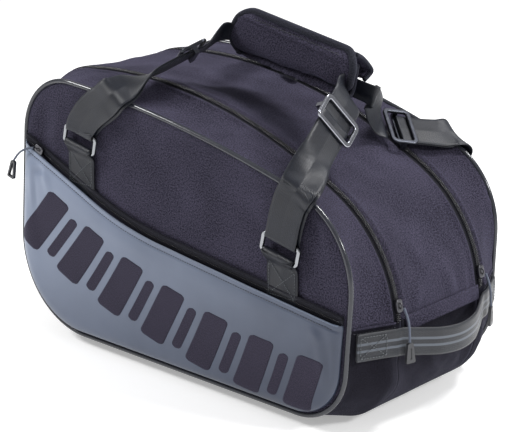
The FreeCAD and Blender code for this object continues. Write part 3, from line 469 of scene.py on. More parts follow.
class Nodes:
    """Short calls for building one material."""

    def __init__(self, name):
        self.material = bpy.data.materials.new(name)
        self.material.use_nodes = True
        self.tree = self.material.node_tree
        self.shader = self.tree.nodes["Principled BSDF"]

    def add(self, kind, **values):
        node = self.tree.nodes.new("ShaderNode" + kind)
        for key, value in values.items():
            setattr(node, key, value)
        return node

    def link(self, source, target):
        self.tree.links.new(source, target)

    def set(self, node, **values):
        for key, value in values.items():
            node.inputs[key.replace("_", " ")].default_value = value
        return node

    def coordinate(self, name="weave"):
        return self.add("Attribute", attribute_type="GEOMETRY", attribute_name=name).outputs["Vector"]

    def noise(self, vector, scale, detail=2.0, roughness=0.5):
        node = self.add("TexNoise")
        self.set(node, Scale=scale, Detail=detail, Roughness=roughness)
        self.link(vector, node.inputs["Vector"])
        return node.outputs["Fac"]

    def put(self, socket, value):
        """Sets a socket to a number or a colour, or links it to another node's output."""
        if isinstance(value, (int, float)):
            socket.default_value = value
        elif isinstance(value, tuple):
            socket.default_value = (*value, 1)
        else:
            self.link(value, socket)

    def split(self, vector):
        node = self.add("SeparateXYZ")
        self.link(vector, node.inputs[0])
        return node.outputs

    def math(self, operation, *values):
        node = self.add("Math", operation=operation)
        for socket, value in zip(node.inputs, values):
            self.put(socket, value)
        return node.outputs[0]

    def ramp(self, value, stops):
        node = self.add("ValToRGB")
        ramp = node.color_ramp
        while len(ramp.elements) < len(stops):
            ramp.elements.new(0.5)
        for element, (place, colour) in zip(ramp.elements, stops):
            element.position = place
            element.color = (*colour, 1)
        self.link(value, node.inputs["Fac"])
        return node.outputs["Color"]

    def mix(self, share, first, second):
        node = self.add("Mix", data_type="RGBA")
        for slot, value in ((0, share), (6, first), (7, second)):
            self.put(node.inputs[slot], value)
        return node.outputs[2]

    def bump(self, height, distance, strength):
        node = self.add("Bump")
        self.set(node, Distance=distance, Strength=strength)
        self.link(height, node.inputs["Height"])
        return node.outputs["Normal"]

    def finish(self, colour, normal=None, rough=0.8, **values):
        self.put(self.shader.inputs["Base Color"], colour)
        self.put(self.shader.inputs["Roughness"], rough)
        if normal is not None:
            self.link(normal, self.shader.inputs["Normal"])
        self.set(self.shader, **values)
        return self.material


def woven(name, dark, light, pitch, spread=0.17, rough=0.92, depth=0.00025, sheen=0.06):
    """Plain woven cloth with lighter and darker yarns mixed in it."""
    n = Nodes(name)
    place = n.coordinate()
    parts = n.split(place)
    turn = 2 * math.pi / pitch
    warp = n.math("SINE", n.math("MULTIPLY", parts["X"], turn))
    weft = n.math("SINE", n.math("MULTIPLY", parts["Y"], turn))
    weave = n.math("MULTIPLY", warp, weft)
    yarn = n.noise(place, 0.80 / pitch, 2.0, 0.9)
    patch = n.noise(place, 14.0, 2.0)
    mix = n.math("MULTIPLY_ADD", weave, 0.10, yarn)
    mix = n.math("MULTIPLY_ADD", n.math("SUBTRACT", patch, 0.5), 0.22, mix)
    colour = n.ramp(mix, ((0.5 - spread / 2, dark), (0.5 + spread / 2, light)))
    height = n.math("MULTIPLY_ADD", weave, 0.5, yarn)
    normal = n.bump(height, depth, 0.9)
    return n.finish(colour, normal, rough, Sheen_Weight=sheen, Sheen_Roughness=0.5,
                    Sheen_Tint=(0.62, 0.62, 1.0, 1.0), Specular_IOR_Level=0.12)


RIB_PITCH = 0.0017
WALE_PITCH = 0.0021
STRIPE_FROM_MIDDLE = 0.0036
STRIPE_HALF = 0.0013


def ribbed(name, dark, light, rough=0.4, stripes=False, sheen=0.2):
    """Webbing: fine slanted ribs, closer yarns at its edges, and stripes where it has them."""
    n = Nodes(name)
    place = n.coordinate()
    parts = n.split(place)
    along, across = parts["X"], parts["Y"]
    slant = n.math("ADD", along, n.math("ABSOLUTE", across))
    rib = n.math("SINE", n.math("MULTIPLY", slant, 2 * math.pi / RIB_PITCH))
    wale = n.math("SINE", n.math("MULTIPLY", across, 2 * math.pi / WALE_PITCH))
    fuzz = n.noise(place, 900.0, 2.0)
    wear = n.noise(place, 26.0, 3.0)
    mix = n.math("MULTIPLY_ADD", rib, 0.17, fuzz)
    mix = n.math("MULTIPLY_ADD", n.math("SUBTRACT", wear, 0.5), 0.5, mix)
    colour = n.ramp(mix, ((0.25, dark), (0.8, light)))
    if stripes:
        off = n.math("ABSOLUTE", n.math("SUBTRACT", n.math("ABSOLUTE", across), STRIPE_FROM_MIDDLE))
        mask = n.math("LESS_THAN", off, STRIPE_HALF)
        colour = n.mix(n.math("MULTIPLY", mask, 0.75), colour, (0.105, 0.120, 0.145))
    height = n.math("MULTIPLY_ADD", wale, 0.35, rib)
    normal = n.bump(height, 0.00009, 0.8)
    uneven = n.math("MULTIPLY_ADD", wear, 0.22, rough - 0.11)
    return n.finish(colour, normal, uneven, Sheen_Weight=sheen, Sheen_Roughness=0.35,
                    Specular_IOR_Level=0.38)


def coated():
    """Smooth coated cloth: a faint leathery grain and soft shine, with painted light, lighter towards
    the upper left, and a cooler, darker painted shade towards the lower right edge.
    """
    n = Nodes("coated_fabric")
    place = n.coordinate("rest")
    parts = n.split(place)
    grain = n.noise(place, 1500.0, 2.0)
    cloud = n.noise(place, 16.0, 3.0)
    # Painted light and shade: colour lighter to the left and top, darker to the right and bottom, mixed
    # with a random cloud of tone.
    side = n.math("MULTIPLY_ADD", parts["X"], -1.25, 0.28)
    side = n.math("MULTIPLY_ADD", parts["Z"], 1.9, side)
    cloud_and_painted_light = n.math("MULTIPLY_ADD", n.math("SUBTRACT", cloud, 0.5), 0.25, side)
    colour = n.ramp(cloud_and_painted_light, ((0.18, (0.026, 0.036, 0.066)), (0.85, (0.165, 0.200, 0.280))))
    normal = n.bump(grain, 0.00006, 0.7)
    rough = n.math("MULTIPLY_ADD", cloud, 0.12, 0.36)
    return n.finish(colour, normal, rough, Specular_IOR_Level=0.5, Coat_Weight=0.12,
                    Coat_Roughness=0.35)


def smooth_plastic(name, colour, rough, grain=700.0, depth=0.00008):
    n = Nodes(name)
    place = n.add("TexCoord").outputs["Object"]
    speck = n.noise(place, grain, 2.0)
    darker, lighter = (tuple(c * share for c in colour) for share in (0.8, 1.15))
    shade = n.ramp(speck, ((0.3, darker), (0.7, lighter)))
    uneven = n.math("MULTIPLY_ADD", speck, 0.15, rough - 0.07)
    return n.finish(shade, n.bump(speck, depth, 0.6), uneven)


def metal(name, colour, rough):
    """Plated metal with fine polishing marks and faint scuffs."""
    n = Nodes(name)
    place = n.add("TexCoord").outputs["Object"]
    scuff = n.noise(place, 180.0, 4.0, 0.7)
    fine = n.noise(place, 1600.0, 2.0)
    shade = n.ramp(scuff, ((0.3, tuple(c * 0.82 for c in colour)), (0.75, colour)))
    uneven = n.math("MULTIPLY_ADD", scuff, 0.16, rough - 0.05)
    return n.finish(shade, n.bump(fine, 0.00003, 0.5), uneven, Metallic=1.0)


def make_materials():
    return {
        "body": woven("body_fabric", (0.0065, 0.006, 0.011), (0.052, 0.047, 0.075), 0.0013),
        # Painted shade: the base strip's cloth is painted far darker than the body's, for the shade
        # below the hem and under the case.
        "base": woven("base_fabric_painted_shade", (0.002, 0.0018, 0.0035), (0.009, 0.0082, 0.013), 0.0013),
        "lining": woven("lining_fabric", (0.012, 0.012, 0.016), (0.04, 0.04, 0.05), 0.0009),
        "binding": woven("binding_tape", (0.005, 0.0055, 0.009), (0.026, 0.027, 0.038), 0.0012,
                         rough=0.7),
        "tape": woven("zip_tape", (0.006, 0.006, 0.008), (0.022, 0.022, 0.026), 0.0008),
        "webbing": ribbed("webbing", (0.001, 0.0014, 0.003), (0.014, 0.017, 0.028), 0.40, sheen=0.02),
        "striped": ribbed("striped_webbing", (0.004, 0.005, 0.007), (0.028, 0.031, 0.040), 0.42,
                          stripes=True, sheen=0.08),
        "coated": coated(),
        "lip": smooth_plastic("pocket_lip", (0.10, 0.125, 0.18), 0.4),
        "print": woven("print_ink", (0.016, 0.014, 0.024), (0.040, 0.035, 0.056), 0.0010,
                       rough=0.75, depth=0.0001),
        "piping": smooth_plastic("piping", (0.026, 0.028, 0.036), 0.16),
        "teeth": smooth_plastic("zip_teeth", (0.014, 0.014, 0.018), 0.16),
        "thread": smooth_plastic("sewing_thread", (0.030, 0.032, 0.040), 0.6),
        "pale_thread": smooth_plastic("pale_thread", (0.10, 0.11, 0.12), 0.6),
        "board": smooth_plastic("base_board", (0.025, 0.025, 0.028), 0.6),
        "cord": woven("pull_cord", (0.03, 0.035, 0.05), (0.16, 0.18, 0.23), 0.0009, rough=0.6),
        "tab": smooth_plastic("pull_tab", (0.030, 0.031, 0.036), 0.35),
        "ring": metal("ring_metal", (0.30, 0.31, 0.33), 0.22),
        "glide": metal("glide_metal", (0.36, 0.37, 0.41), 0.16),
        "slider": metal("slider_metal", (0.10, 0.10, 0.11), 0.30),
        # Painted shade: a darker copy of the glide metal, for glides that stand in shade.
        "glide_painted_shade": metal("glide_metal_painted_shade", (0.055, 0.058, 0.070), 0.30),
    }


MATERIALS = make_materials()


def dress(piece, material, body, *nodes, slot=None):
    """Give a piece its material and body, and the CAD nodes that it stands for."""
    piece.data.materials.clear()
    piece.data.materials.append(MATERIALS[material])
    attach(piece, body)
    if nodes:
        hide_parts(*nodes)
    return piece


# ---------------------------------------------------------------- fabric walls

# The rear cover mirrors the front.
SIDES = {"front": -1, "rear": 1}
SLOPE_Y = 0.078          # where the walls start to slope down to the covers' edges
WALL_COLUMNS = 330
CLOTH_THICK = 0.0012
FOLD_GAIN = 0.00135      # metres of height for each millimetre in the tables of folds


def bend_with_cover(piece, side, material, *nodes, slot):
    """Cloth that joins the body to a cover."""
    piece.data.materials.append(MATERIALS[material])
    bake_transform(piece)
    if nodes:
        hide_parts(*nodes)


def edge_roll(grid, edge_rows, depth):
    """Lowers the first rows of a grid beside a zip, like cloth folded under along it."""
    place = np.arange(grid.shape[0]) / edge_rows
    return (smooth(place) - 1.0)[:, None] * depth


# Soft folds that the cloth holds: from, to, width, height (millimetres).
GUSSET_FOLDS = [
    ((235, -100, 215), (250, -92, 150), 7, 1.8),
    ((226, -108, 235), (246, -112, 160), 6, -1.5),
    ((150, -95, 262), (205, -100, 240), 10, -2.0),
    ((-60, -100, 303), (20, -95, 296), 14, -2.5),
    ((60, -102, 288), (120, -98, 272), 11, 1.5),
    ((252, -84, 168), (258, -82, 124), 4, -1.2),
    ((250, -112, 150), (254, -108, 118), 5, 1.3),
]
MIDDLE_FOLDS = [
    ((232, -50, 215), (252, -20, 165), 12, 4.0),
    ((240, -40, 196), (253, -28, 160), 9, -4.5),
    ((205, -20, 235), (238, 10, 200), 16, -3.0),
    ((250, 8, 170), (256, 20, 125), 9, 2.6),
    ((254, 30, 150), (256, 34, 118), 5, -2.2),
    ((253, 45, 150), (256, 46, 118), 4, 1.8),
    ((254, -30, 150), (256, -45, 118), 6, 2.0),
    ((90, -40, 290), (160, 20, 262), 16, -3.5),
    ((-70, -30, 306), (0, 30, 308), 22, -3.0),
    ((-30, -45, 305), (40, -50, 300), 12, 2.0),
    ((20, 40, 305), (90, 50, 292), 14, 2.0),
    ((-150, -30, 290), (-190, 10, 262), 14, -2.8),
    ((-238, -20, 200), (-246, 15, 130), 12, 3.0),
    ((-240, 40, 190), (-247, 20, 125), 9, -3.0),
]
BASE_FOLDS = [
    ((257, -100, 84), (246, -60, 34), 9, 2.4),
    ((257, -70, 78), (244, -25, 30), 8, -2.6),
    ((258, -20, 70), (243, 15, 26), 9, 2.2),
    ((258, 40, 72), (244, 60, 24), 8, -2.2),
    ((258, 85, 80), (246, 95, 30), 8, 2.0),
    ((-246, -70, 84), (-236, -30, 40), 10, 2.4),
    ((-246, 20, 90), (-236, 45, 36), 10, -2.6),
    ((-246, 80, 84), (-238, 90, 40), 9, 2.0),
]


def relief(grid, folds, scale, amount, seed):
    """Total height of a cloth's soft folds over its flat shape."""
    height = amount * rumple(grid, scale, 3, seed) + 0.35 * amount * rumple(grid, 3.2 * scale, 2, seed)
    for start, end, width, tall in folds:
        height = height + fold(grid, mm(*start), mm(*end), width * 0.001, tall * FOLD_GAIN)
    return height


def flip(folds):
    return [((a, -b, c), (d, -e, f), width, tall) for (a, b, c), (d, e, f), width, tall in folds]


def cover_stations(side, start):
    """Stations from beside a zip out to a cover's edge."""
    sign = SIDES[side]
    return [("middle", sign * start), ("middle", sign * SLOPE_Y), (side, sign * COVER_EDGE)]


def gusset(side):
    """The cloth between a zip and a cover's piping, folded under along the zip."""
    sign = SIDES[side]
    grid = loft_grid(cover_stations(side, ZIP_Y + CHANNEL), WALL_COLUMNS, 0.0016, "above")
    rows, columns = grid.shape[:2]
    place = np.linspace(0, 1, rows)[:, None]
    fade = smooth(place / 0.18) * smooth((1 - place) / 0.10)
    along = np.linspace(0, 1, columns)[None, :]
    fade = fade * smooth(np.minimum(along, 1 - along) / 0.02)
    sag = -0.0022 * np.sin(place * math.pi) * (0.6 + 0.4 * np.sin(along * 17))
    folds = GUSSET_FOLDS if side == "front" else flip(GUSSET_FOLDS)
    lift = fade * (sag + relief(grid, folds, 17.0, 0.0017, 3.0 * sign))
    puckers = 0.00045 * np.sin(along * columns * 0.42 + 2 * np.sin(along * 60))
    lift = lift + puckers * np.exp(-((1 - place) / 0.09) ** 2)
    lift = lift + edge_roll(grid, 3, 0.0022) + 0.0010 * np.exp(-((place - 0.075) / 0.05) ** 2)
    piece = cloth(side + "_gusset_cloth", grid, (0, 0, 1), CLOTH_THICK, lift)
    bend_with_cover(piece, side, "body", side + "_gusset", slot="body_fabric")


def middle_cloth():
    """The body between the two zips, with both edges folded under beside them."""
    edge = ZIP_Y - CHANNEL
    grid = loft_grid([("middle", -edge), ("middle", edge)], WALL_COLUMNS, 0.0020, "above")
    rows, columns = grid.shape[:2]
    place = np.linspace(0, 1, rows)[:, None]
    edge_near = np.minimum(place, 1 - place)
    along = np.linspace(0, 1, columns)[None, :]
    fade = smooth(edge_near / 0.12) * smooth(np.minimum(along, 1 - along) / 0.012)
    lift = fade * relief(grid, MIDDLE_FOLDS, 11.0, 0.0024, 9.0)
    lift = lift - 0.0030 * np.sin(place * math.pi) * np.sin(along * math.pi) ** 0.5
    roll = (smooth(edge_near * rows / 3) - 1.0) * 0.0022
    lift = lift + roll + 0.0011 * np.exp(-((edge_near - 0.04) / 0.025) ** 2)
    piece = cloth("middle_gusset_cloth", grid, (0, 0, 1), CLOTH_THICK, lift)
    dress(piece, "body", "carcass", "middle_gusset", slot="body_fabric")


def hem_flap():
    """The free lower hem of the body's right end, standing off the base like an awning."""
    section = cut(trace("middle"), 0.104, "above")
    run = lengths(section)
    reach = 0.016
    keep = run <= reach
    edge = resample(section[keep], 12)[::-1]
    depths = np.linspace(-0.0600, 0.0640, 64)
    rows = []
    for step, (x, z) in enumerate(edge):
        share = step / (len(edge) - 1)
        bow = np.sin(np.clip((depths + 0.060) / 0.124, 0, 1) * math.pi) ** 0.7
        stand = 0.0016 + (0.0012 + 0.0062 * bow) * share ** 1.3
        drop = 0.0105 * (1 - bow) * share * smooth((0.03 - depths) / 0.07)
        rows.append(np.stack([x + stand, depths, z - drop * 0.2 + 0.004 * share * bow], 1))
    grid = np.array(rows)
    lift = 0.0006 * rumple(grid, 60.0, 2, 4.0)
    piece = cloth("hem_flap_cloth", grid, (1, 0, 0), 0.0014, lift)
    dress(piece, "body", "carcass", slot="body_fabric")


BASE_SPLIT = 0.0660


def base_cloth():
    """The strip that makes both ends and the bottom, in a middle part and two cover parts."""
    spans = {
        "front": cover_stations("front", BASE_SPLIT)[::-1],
        "middle": [("middle", -BASE_SPLIT), ("middle", BASE_SPLIT)],
        "rear": cover_stations("rear", BASE_SPLIT),
    }
    for part, stations in spans.items():
        grid = loft_grid(stations, 420, 0.0032, "below")
        low = smooth((grid[..., 2] - 0.004) / 0.03)
        height = relief(grid, BASE_FOLDS, 13.0, 0.0016, 5.0)
        edge = smooth((np.abs(np.abs(grid[..., 1]) - 0.1225)) / 0.006)
        hem = smooth((HEM - grid[..., 2]) / 0.012)
        lift = low * edge * hem * (height - 0.0006)
        piece = cloth("base_%s_cloth" % part, grid, (0, 0, -1), CLOTH_THICK, lift)
        # The base material is painted shade: the body's cloth made darker.
        if part == "middle":
            dress(piece, "base", "carcass", "base_strip", slot="body_fabric")
        else:
            bend_with_cover(piece, part, "base", slot="body_fabric")


def base_seams():
    """A raised seam along the top of the base strip, with its line of stitches."""
    for side in SIDES:
        for end, column in (("right", 0), ("left", -1)):
            stations = cover_stations(side, ZIP_Y + CHANNEL + 0.001)
            path = loft_grid(stations, 40, 0.003, "above")[:, column]
            outward = 1 if end == "right" else -1
            raised = path + np.array([outward * 0.0006, 0, 0])
            seam = tube("%s_%s_seam" % (side, end), raised, 0.0011, 8)
            bend_with_cover(seam, side, "body", slot="body_fabric")
            lines = [path + np.array([outward * 0.0009, 0, -0.0045])]
            thread = stitches("%s_%s_seam_thread" % (side, end), lines, [(outward, 0, 0)])
            bend_with_cover(thread, side, "thread", slot="body_fabric")


# ---------------------------------------------------------------- zips

def zip_frame(y, count):
    """Points along a zip line above the hem, with outward normals."""
    section = resample(cut(trace("middle"), HEM, "above"), count)
    tangents = unit(np.gradient(section, axis=0))
    normals = np.stack([tangents[:, 1], np.zeros(count), -tangents[:, 0]], 1)
    return stand(section, y), stand(tangents, 0.0), normals


TOOTH_PITCH = 0.0021


def teeth(name, y, toward):
    """One row of coil teeth: a rounded loop of monofilament for each tooth."""
    section = cut(trace("middle"), HEM, "above")
    count = int(lengths(section)[-1] / TOOTH_PITCH)
    path, along, normals = zip_frame(y, count)
    reach = np.array([0, toward, 0.0])
    profile = [(-0.0004, -0.0006, 0.7), (-0.0002, 0.0002, 1.0), (0.0012, 0.0007, 1.0),
               (0.0026, 0.0005, 1.0), (0.0031, -0.0005, 0.8)]
    shift = 0.25 if toward > 0 else -0.25
    vertices, faces = [], []
    for point, tangent, normal in zip(path, along, normals):
        faces += ring_faces(len(vertices), len(profile), 6)
        for out, up, size in profile:
            centre = point + reach * out + normal * (up + 0.0003) + tangent * shift * TOOTH_PITCH
            for k in range(6):
                angle = math.pi * k / 3
                wide = 0.00062 * size * math.cos(angle)
                tall = 0.00060 * size * math.sin(angle)
                vertices.append(centre + tangent * wide + normal * tall)
    return closed_object(name, vertices, faces)


def zips():
    for side, sign in SIDES.items():
        y = sign * ZIP_Y
        for half, toward in (("outer", sign), ("inner", -sign)):
            near = y + toward * 0.0002
            far = y + toward * TAPE_HALF
            grid = loft_grid([("middle", near), ("middle", far)], WALL_COLUMNS, 0.0015, "above")
            tape = cloth("%s_%s_tape" % (side, half), grid, (0, 0, 1), 0.0007, -0.0016)
            row = teeth("%s_%s_teeth" % (side, half), y, toward)
            names = ["%s_zip_%s_tape" % (side, half), "%s_zip_%s_teeth" % (side, half)]
            if half == "outer":
                bend_with_cover(tape, side, "tape", names[0], slot="zip_tape")
                bend_with_cover(row, side, "teeth", names[1], slot="zip_teeth")
            else:
                dress(tape, "tape", "carcass", names[0], slot="zip_tape")
                dress(row, "teeth", "carcass", names[1], slot="zip_teeth")


# ---------------------------------------------------------------- covers

def panel_sag(x, z, side):
    """How far the panel's cloth sinks behind its flat face, in metres."""
    points = np.stack([x, np.zeros_like(x), z], -1)
    soft = 0.0012 * rumple(points, 12.0, 3, 2.0 if side == "front" else 7.0)
    hollow = 0.0022 * np.exp(-(((x - 0.02) / 0.14) ** 2 + ((z - 0.225) / 0.05) ** 2))
    creases = 0.0
    for (x0, z0), (x1, z1), width, deep in PANEL_CREASES:
        creases = creases + fold(points, mm(x0, 0, z0), mm(x1, 0, z1), width * 0.001, deep * 0.001)
    return np.maximum(soft + hollow + creases + 0.0006, -0.0004)


PANEL_CREASES = [
    ((-205, 205), (-190, 262), 9, 2.0),
    ((-180, 215), (-168, 270), 8, -1.6),
    ((-100, 285), (-60, 240), 12, 1.8),
    ((180, 235), (205, 190), 9, 2.0),
    ((195, 225), (214, 175), 6, -1.5),
    ((100, 215), (140, 160), 13, 1.8),
]


def rings_inside(name, inset, share):
    """Rings of points from near an outline's middle out to the outline."""
    closed = trace(name, inset)
    edge = resample(np.concatenate([closed, closed[:1]]), 361)[:-1]
    flat = np.array([0.0, 0.135]) + (edge - np.array([0.0, 0.135])) * share[:, :, None]
    return stand(flat, 0.0)


def divider_cloth():
    """The soft wall between the two compartments, standing in slight waves."""
    share = np.linspace(0.03, 1.0, 40)[:, None]
    grid = rings_inside("middle", 0.0075, share)
    wave = 0.0013 * rumple(grid, 13.0, 2, 4.0) * smooth((1 - share) / 0.15)
    grid[..., 1] = 0.0012 + wave
    piece = disc("divider_cloth", grid, grid[0].mean(axis=0), (0, 1, 0), 0.0024)
    dress(piece, "lining", "carcass", "divider", slot="body_fabric")


def panels():
    """Each cover's flat panel: a cloth sheet inside the piping."""
    for side, sign in SIDES.items():
        share = np.linspace(0.02, 1.0, 66)[:, None]
        grid = rings_inside(side, 0.0016, share)
        sag = panel_sag(grid[..., 0], grid[..., 2], side) * smooth((1 - share) / 0.08)
        lip = 0.0018 * smooth((share - 0.965) / 0.035)
        grid[..., 1] = sign * (PANEL_FACE - sag - lip)
        centre = grid[0].mean(axis=0)
        piece = disc(side + "_panel_cloth", grid, centre, (0, sign, 0), 0.0014)
        dress(piece, "body", side + "_cover", side + "_panel", slot="body_fabric")


# ---------------------------------------------------------------- pocket

POCKET_INSET = 0.0045
ZIP_INSET = 0.0030
MOUTH_LEFT = mm(-262, 238.5)
MOUTH_BEND = mm(-64, 155.5)
MOUTH_RIGHT = mm(262, 117)
MOUTH_RUN = 0.058


def mouth(lift):
    """The pocket's upper edge as (x, z) points: two straight runs and a bend, raised by lift."""
    first = unit(MOUTH_BEND - MOUTH_LEFT)
    second = unit(MOUTH_RIGHT - MOUTH_BEND)
    up_first = np.array([-first[1], first[0]])
    up_second = np.array([-second[1], second[0]])
    start = MOUTH_BEND - first * MOUTH_RUN
    half = math.acos(first @ second) / 2
    radius = MOUTH_RUN / math.tan(half)
    centre = start + up_first * radius
    begin = math.atan2(*(start - centre)[::-1])
    angles = np.linspace(begin, begin + 2 * half, 40)
    bend = centre + (radius - lift) * np.stack([np.cos(angles), np.sin(angles)], 1)
    return np.concatenate([[MOUTH_LEFT + up_first * lift], bend, [MOUTH_RIGHT + up_second * lift]])


def depth_inside(points, ring):
    """Distance of (x, z) points inside a closed convex outline, negative outside it."""
    ring = resample(np.concatenate([ring, ring[:1]]), 900)[:-1]
    tangents = unit(np.roll(ring, -1, 0) - np.roll(ring, 1, 0))
    flat = points.reshape(-1, 2)
    best = np.full(len(flat), 1e9)
    for point, tangent in zip(ring, tangents):
        away = (flat - point) @ np.array([tangent[1], -tangent[0]])
        best = np.minimum(best, -away)
    return best.reshape(points.shape[:-1])


def depth_below(points):
    """Distance of (x, z) points below the pocket's mouth."""
    line = resample(mouth(0.0), 300)
    flat = points.reshape(-1, 2)
    best = np.full(len(flat), 1e9)
    for point in line:
        best = np.minimum(best, np.linalg.norm(flat - point, axis=1))
    return best.reshape(points.shape[:-1])


POCKET_FOLDS = [
    ((-196, 198), (-194, 188), 7, -2.6),
    ((-188, 196), (-178, 168), 6, 1.3),
    ((-208, 204), (-206, 150), 5, 1.5),
    ((-203, 190), (-201, 140), 5, -1.2),
    ((-214, 150), (-205, 80), 12, 1.3),
    ((-120, 160), (-20, 128), 12, 0.9),
    ((30, 128), (150, 116), 10, 0.9),
    ((206, 104), (214, 60), 6, 1.1),
    ((216, 104), (223, 50), 5, -1.4),
    ((196, 112), (208, 96), 7, 1.5),
    ((-80, 40), (60, 24), 14, -0.9),
    ((120, 36), (190, 30), 12, 0.9),
]


def pocket_face(points):
    """Depth (y) of the pocket's outer face at (x, z) points."""
    inside = depth_inside(points, trace("front", POCKET_INSET))
    below = depth_below(points)
    rise = np.clip(inside / 0.015, 0, 1)
    height = POCKET_DEPTH * np.sqrt(np.maximum(1 - (1 - rise) ** 2, 0.0))
    height = height * (0.84 + 0.16 * smooth(below / 0.022))
    height = height - 0.0008 * np.exp(-((below - 0.0058) / 0.0012) ** 2)
    solid = stand(points, 0.0)
    height = height + smooth(inside / 0.02) * 0.0006 * rumple(solid, 11.0, 3, 1.0)
    for (x0, z0), (x1, z1), width, tall in POCKET_FOLDS:
        ridge = fold(solid, mm(x0, 0, z0), mm(x1, 0, z1), width * 0.001, tall * 0.001)
        height = height + ridge * smooth(inside / 0.012)
    return -POCKET_BACK - 0.0004 - np.maximum(height, 0.0)


def mouth_line(lift, count, inset, clear):
    """The raised mouth line, as far as it stays inside an inset outline by a clearance."""
    line = resample(mouth(lift), count)
    return line[depth_inside(line, trace("front", inset)) > clear]


def pocket_columns(count):
    """Matching points along the mouth and round the pocket's lower edge."""
    ring = trace("front", POCKET_INSET)
    top = mouth_line(0.0, 600, POCKET_INSET, 0.0)
    closed = np.concatenate([ring, ring[:1]])
    closed = resample(closed, 1600)[:-1]
    left = int(np.argmin(np.linalg.norm(closed - top[0], axis=1)))
    right = int(np.argmin(np.linalg.norm(closed - top[-1], axis=1)))
    order = np.arange(left, left + (right - left) % len(closed) + 1) % len(closed)
    return resample(top, count), resample(closed[order], count)


def pocket():
    top, bottom = pocket_columns(300)
    share = np.linspace(0, 1, 120)[:, None, None] ** 1.15
    flat = top + (bottom - top) * share
    piece = cloth("pocket_cloth", stand(flat, pocket_face(flat)), (0, -1, 0), CLOTH_THICK)
    store_vectors(piece.data, "rest", points_of(piece.data))
    dress(piece, "coated", "front_cover", "pocket_panel", slot="coated_fabric")
    line = mouth_line(-0.0058, 400, POCKET_INSET, 0.006)
    path = stand(line, pocket_face(line))
    thread = stitches("pocket_thread", [path], [(0, -1, 0)], pitch=0.0034, long=0.0023)
    dress(thread, "thread", "front_cover", slot="coated_fabric")
    line = mouth_line(-0.0004, 300, POCKET_INSET, 0.003)
    path = stand(line, pocket_face(line) + 0.0004)
    dress(tube("pocket_lip", path, 0.0009, 10), "lip", "front_cover", slot="coated_fabric")


# A plain graphic of slanted bars in a band across the pocket, broad and narrow by turns.
BAR_LINE = [mm(-222, 152), mm(-110, 103), mm(0, 72), mm(110, 55), mm(236, 50)]
BAR_WIDTHS = (0.034, 0.013) * 6 + (0.034,)
BAR_HEIGHTS = (0.080, 0.064)
BAR_GAP = 0.0090
BAR_SLANT = 0.30


def graphic():
    path = curve_through(np.array(BAR_LINE), 400)
    run = lengths(path)
    tangents = unit(np.gradient(path, axis=0))

    def on_band(s, h):
        x = np.interp(s, run, path[:, 0]) - h * np.interp(s, run, tangents[:, 1])
        z = np.interp(s, run, path[:, 1]) + h * np.interp(s, run, tangents[:, 0])
        return np.stack([x, z], -1)

    start = 0.020
    corner = 0.0055
    for number, wide in enumerate(BAR_WIDTHS):
        high = BAR_HEIGHTS[number % 2] * (1 - 0.022 * number)
        across = np.linspace(-1, 1, 25)
        upward = np.linspace(-high / 2, high / 2, 41)
        over = np.maximum(np.abs(upward) - (high / 2 - corner), 0)
        half = wide / 2 - (corner - np.sqrt(np.maximum(corner ** 2 - over ** 2, 0)))
        s = start + wide / 2 + across[None, :] * half[:, None] + BAR_SLANT * upward[:, None]
        flat = on_band(s, np.broadcast_to(upward[:, None], s.shape))
        grid = stand(flat, pocket_face(flat) - 0.0002)
        piece = cloth("pocket_print_%d" % (number + 1), grid, (0, -1, 0), 0.0005)
        dress(piece, "print", "front_cover", slot="coated_fabric")
        start += wide + BAR_GAP


def pocket_zip():
    """The dark band above the mouth: tape, a fine row of teeth and a rolled upper edge."""
    lifts = np.linspace(-0.0015, 0.0082, 9)
    base = resample(mouth(0.0), 500)
    inside = depth_inside(base, trace("front", ZIP_INSET)) > 0.001
    rows = []
    for lift in lifts:
        line = resample(mouth(lift), 500)[inside]
        bow = 0.0016 + 0.0010 * math.sin(max(lift, 0) / 0.0082 * math.pi)
        rows.append(stand(line, -POCKET_BACK - bow))
    piece = cloth("pocket_zip_band", np.array(rows), (0, -1, 0), 0.0009)
    dress(piece, "tape", "front_cover", "pocket_zip_tape", slot="zip_tape")
    path = stand(mouth_line(0.0078, 300, ZIP_INSET, 0.001), -POCKET_BACK - 0.0016)
    dress(tube("pocket_zip_roll", path, 0.0016, 10), "tape", "front_cover", slot="zip_tape")
    path = stand(mouth_line(0.0032, 400, ZIP_INSET, 0.004), -POCKET_BACK - 0.0029)
    row = stitches("pocket_zip_row", [path], [(0, -1, 0)], pitch=0.0019, long=0.0012, thick=0.0008)
    dress(row, "teeth", "front_cover", "pocket_zip_teeth", slot="zip_teeth")


# ---------------------------------------------------------------- handles

WEBBING = 0.0395
RING_DEPTH = 0.1316
RING_SPOTS = {"left": (-132, 231), "right": (152, 173)}
RING_ALONG = unit(mm(284, 0, -58))
RING_UP = np.array([-RING_ALONG[2], 0, RING_ALONG[0]])
RING_RISE = 0.018
BEND_RADIUS = 0.0035
ANCHOR_MIDDLES = {"left": -133, "right": 154}
ANCHOR_HIGH = 52


def ring_bar(side, sign, rise):
    x, z = RING_SPOTS[side]
    return mm(x, 0, z) + np.array([0, sign * RING_DEPTH, 0]) + RING_UP * rise


def half_turn(centre, outward, up, start, end, radius, count=9):
    """Points round a bar, as angles from the outward direction towards up."""
    return [centre + radius * (outward * math.cos(a) + up * math.sin(a))
            for a in np.linspace(start, end, count)]


def box_with_cross(corners):
    """Lines of stitches round four corners and across them."""
    lines = [[corners[i], corners[(i + 1) % 4]] for i in range(4)]
    return lines + [[corners[0], corners[2]], [corners[1], corners[3]]]


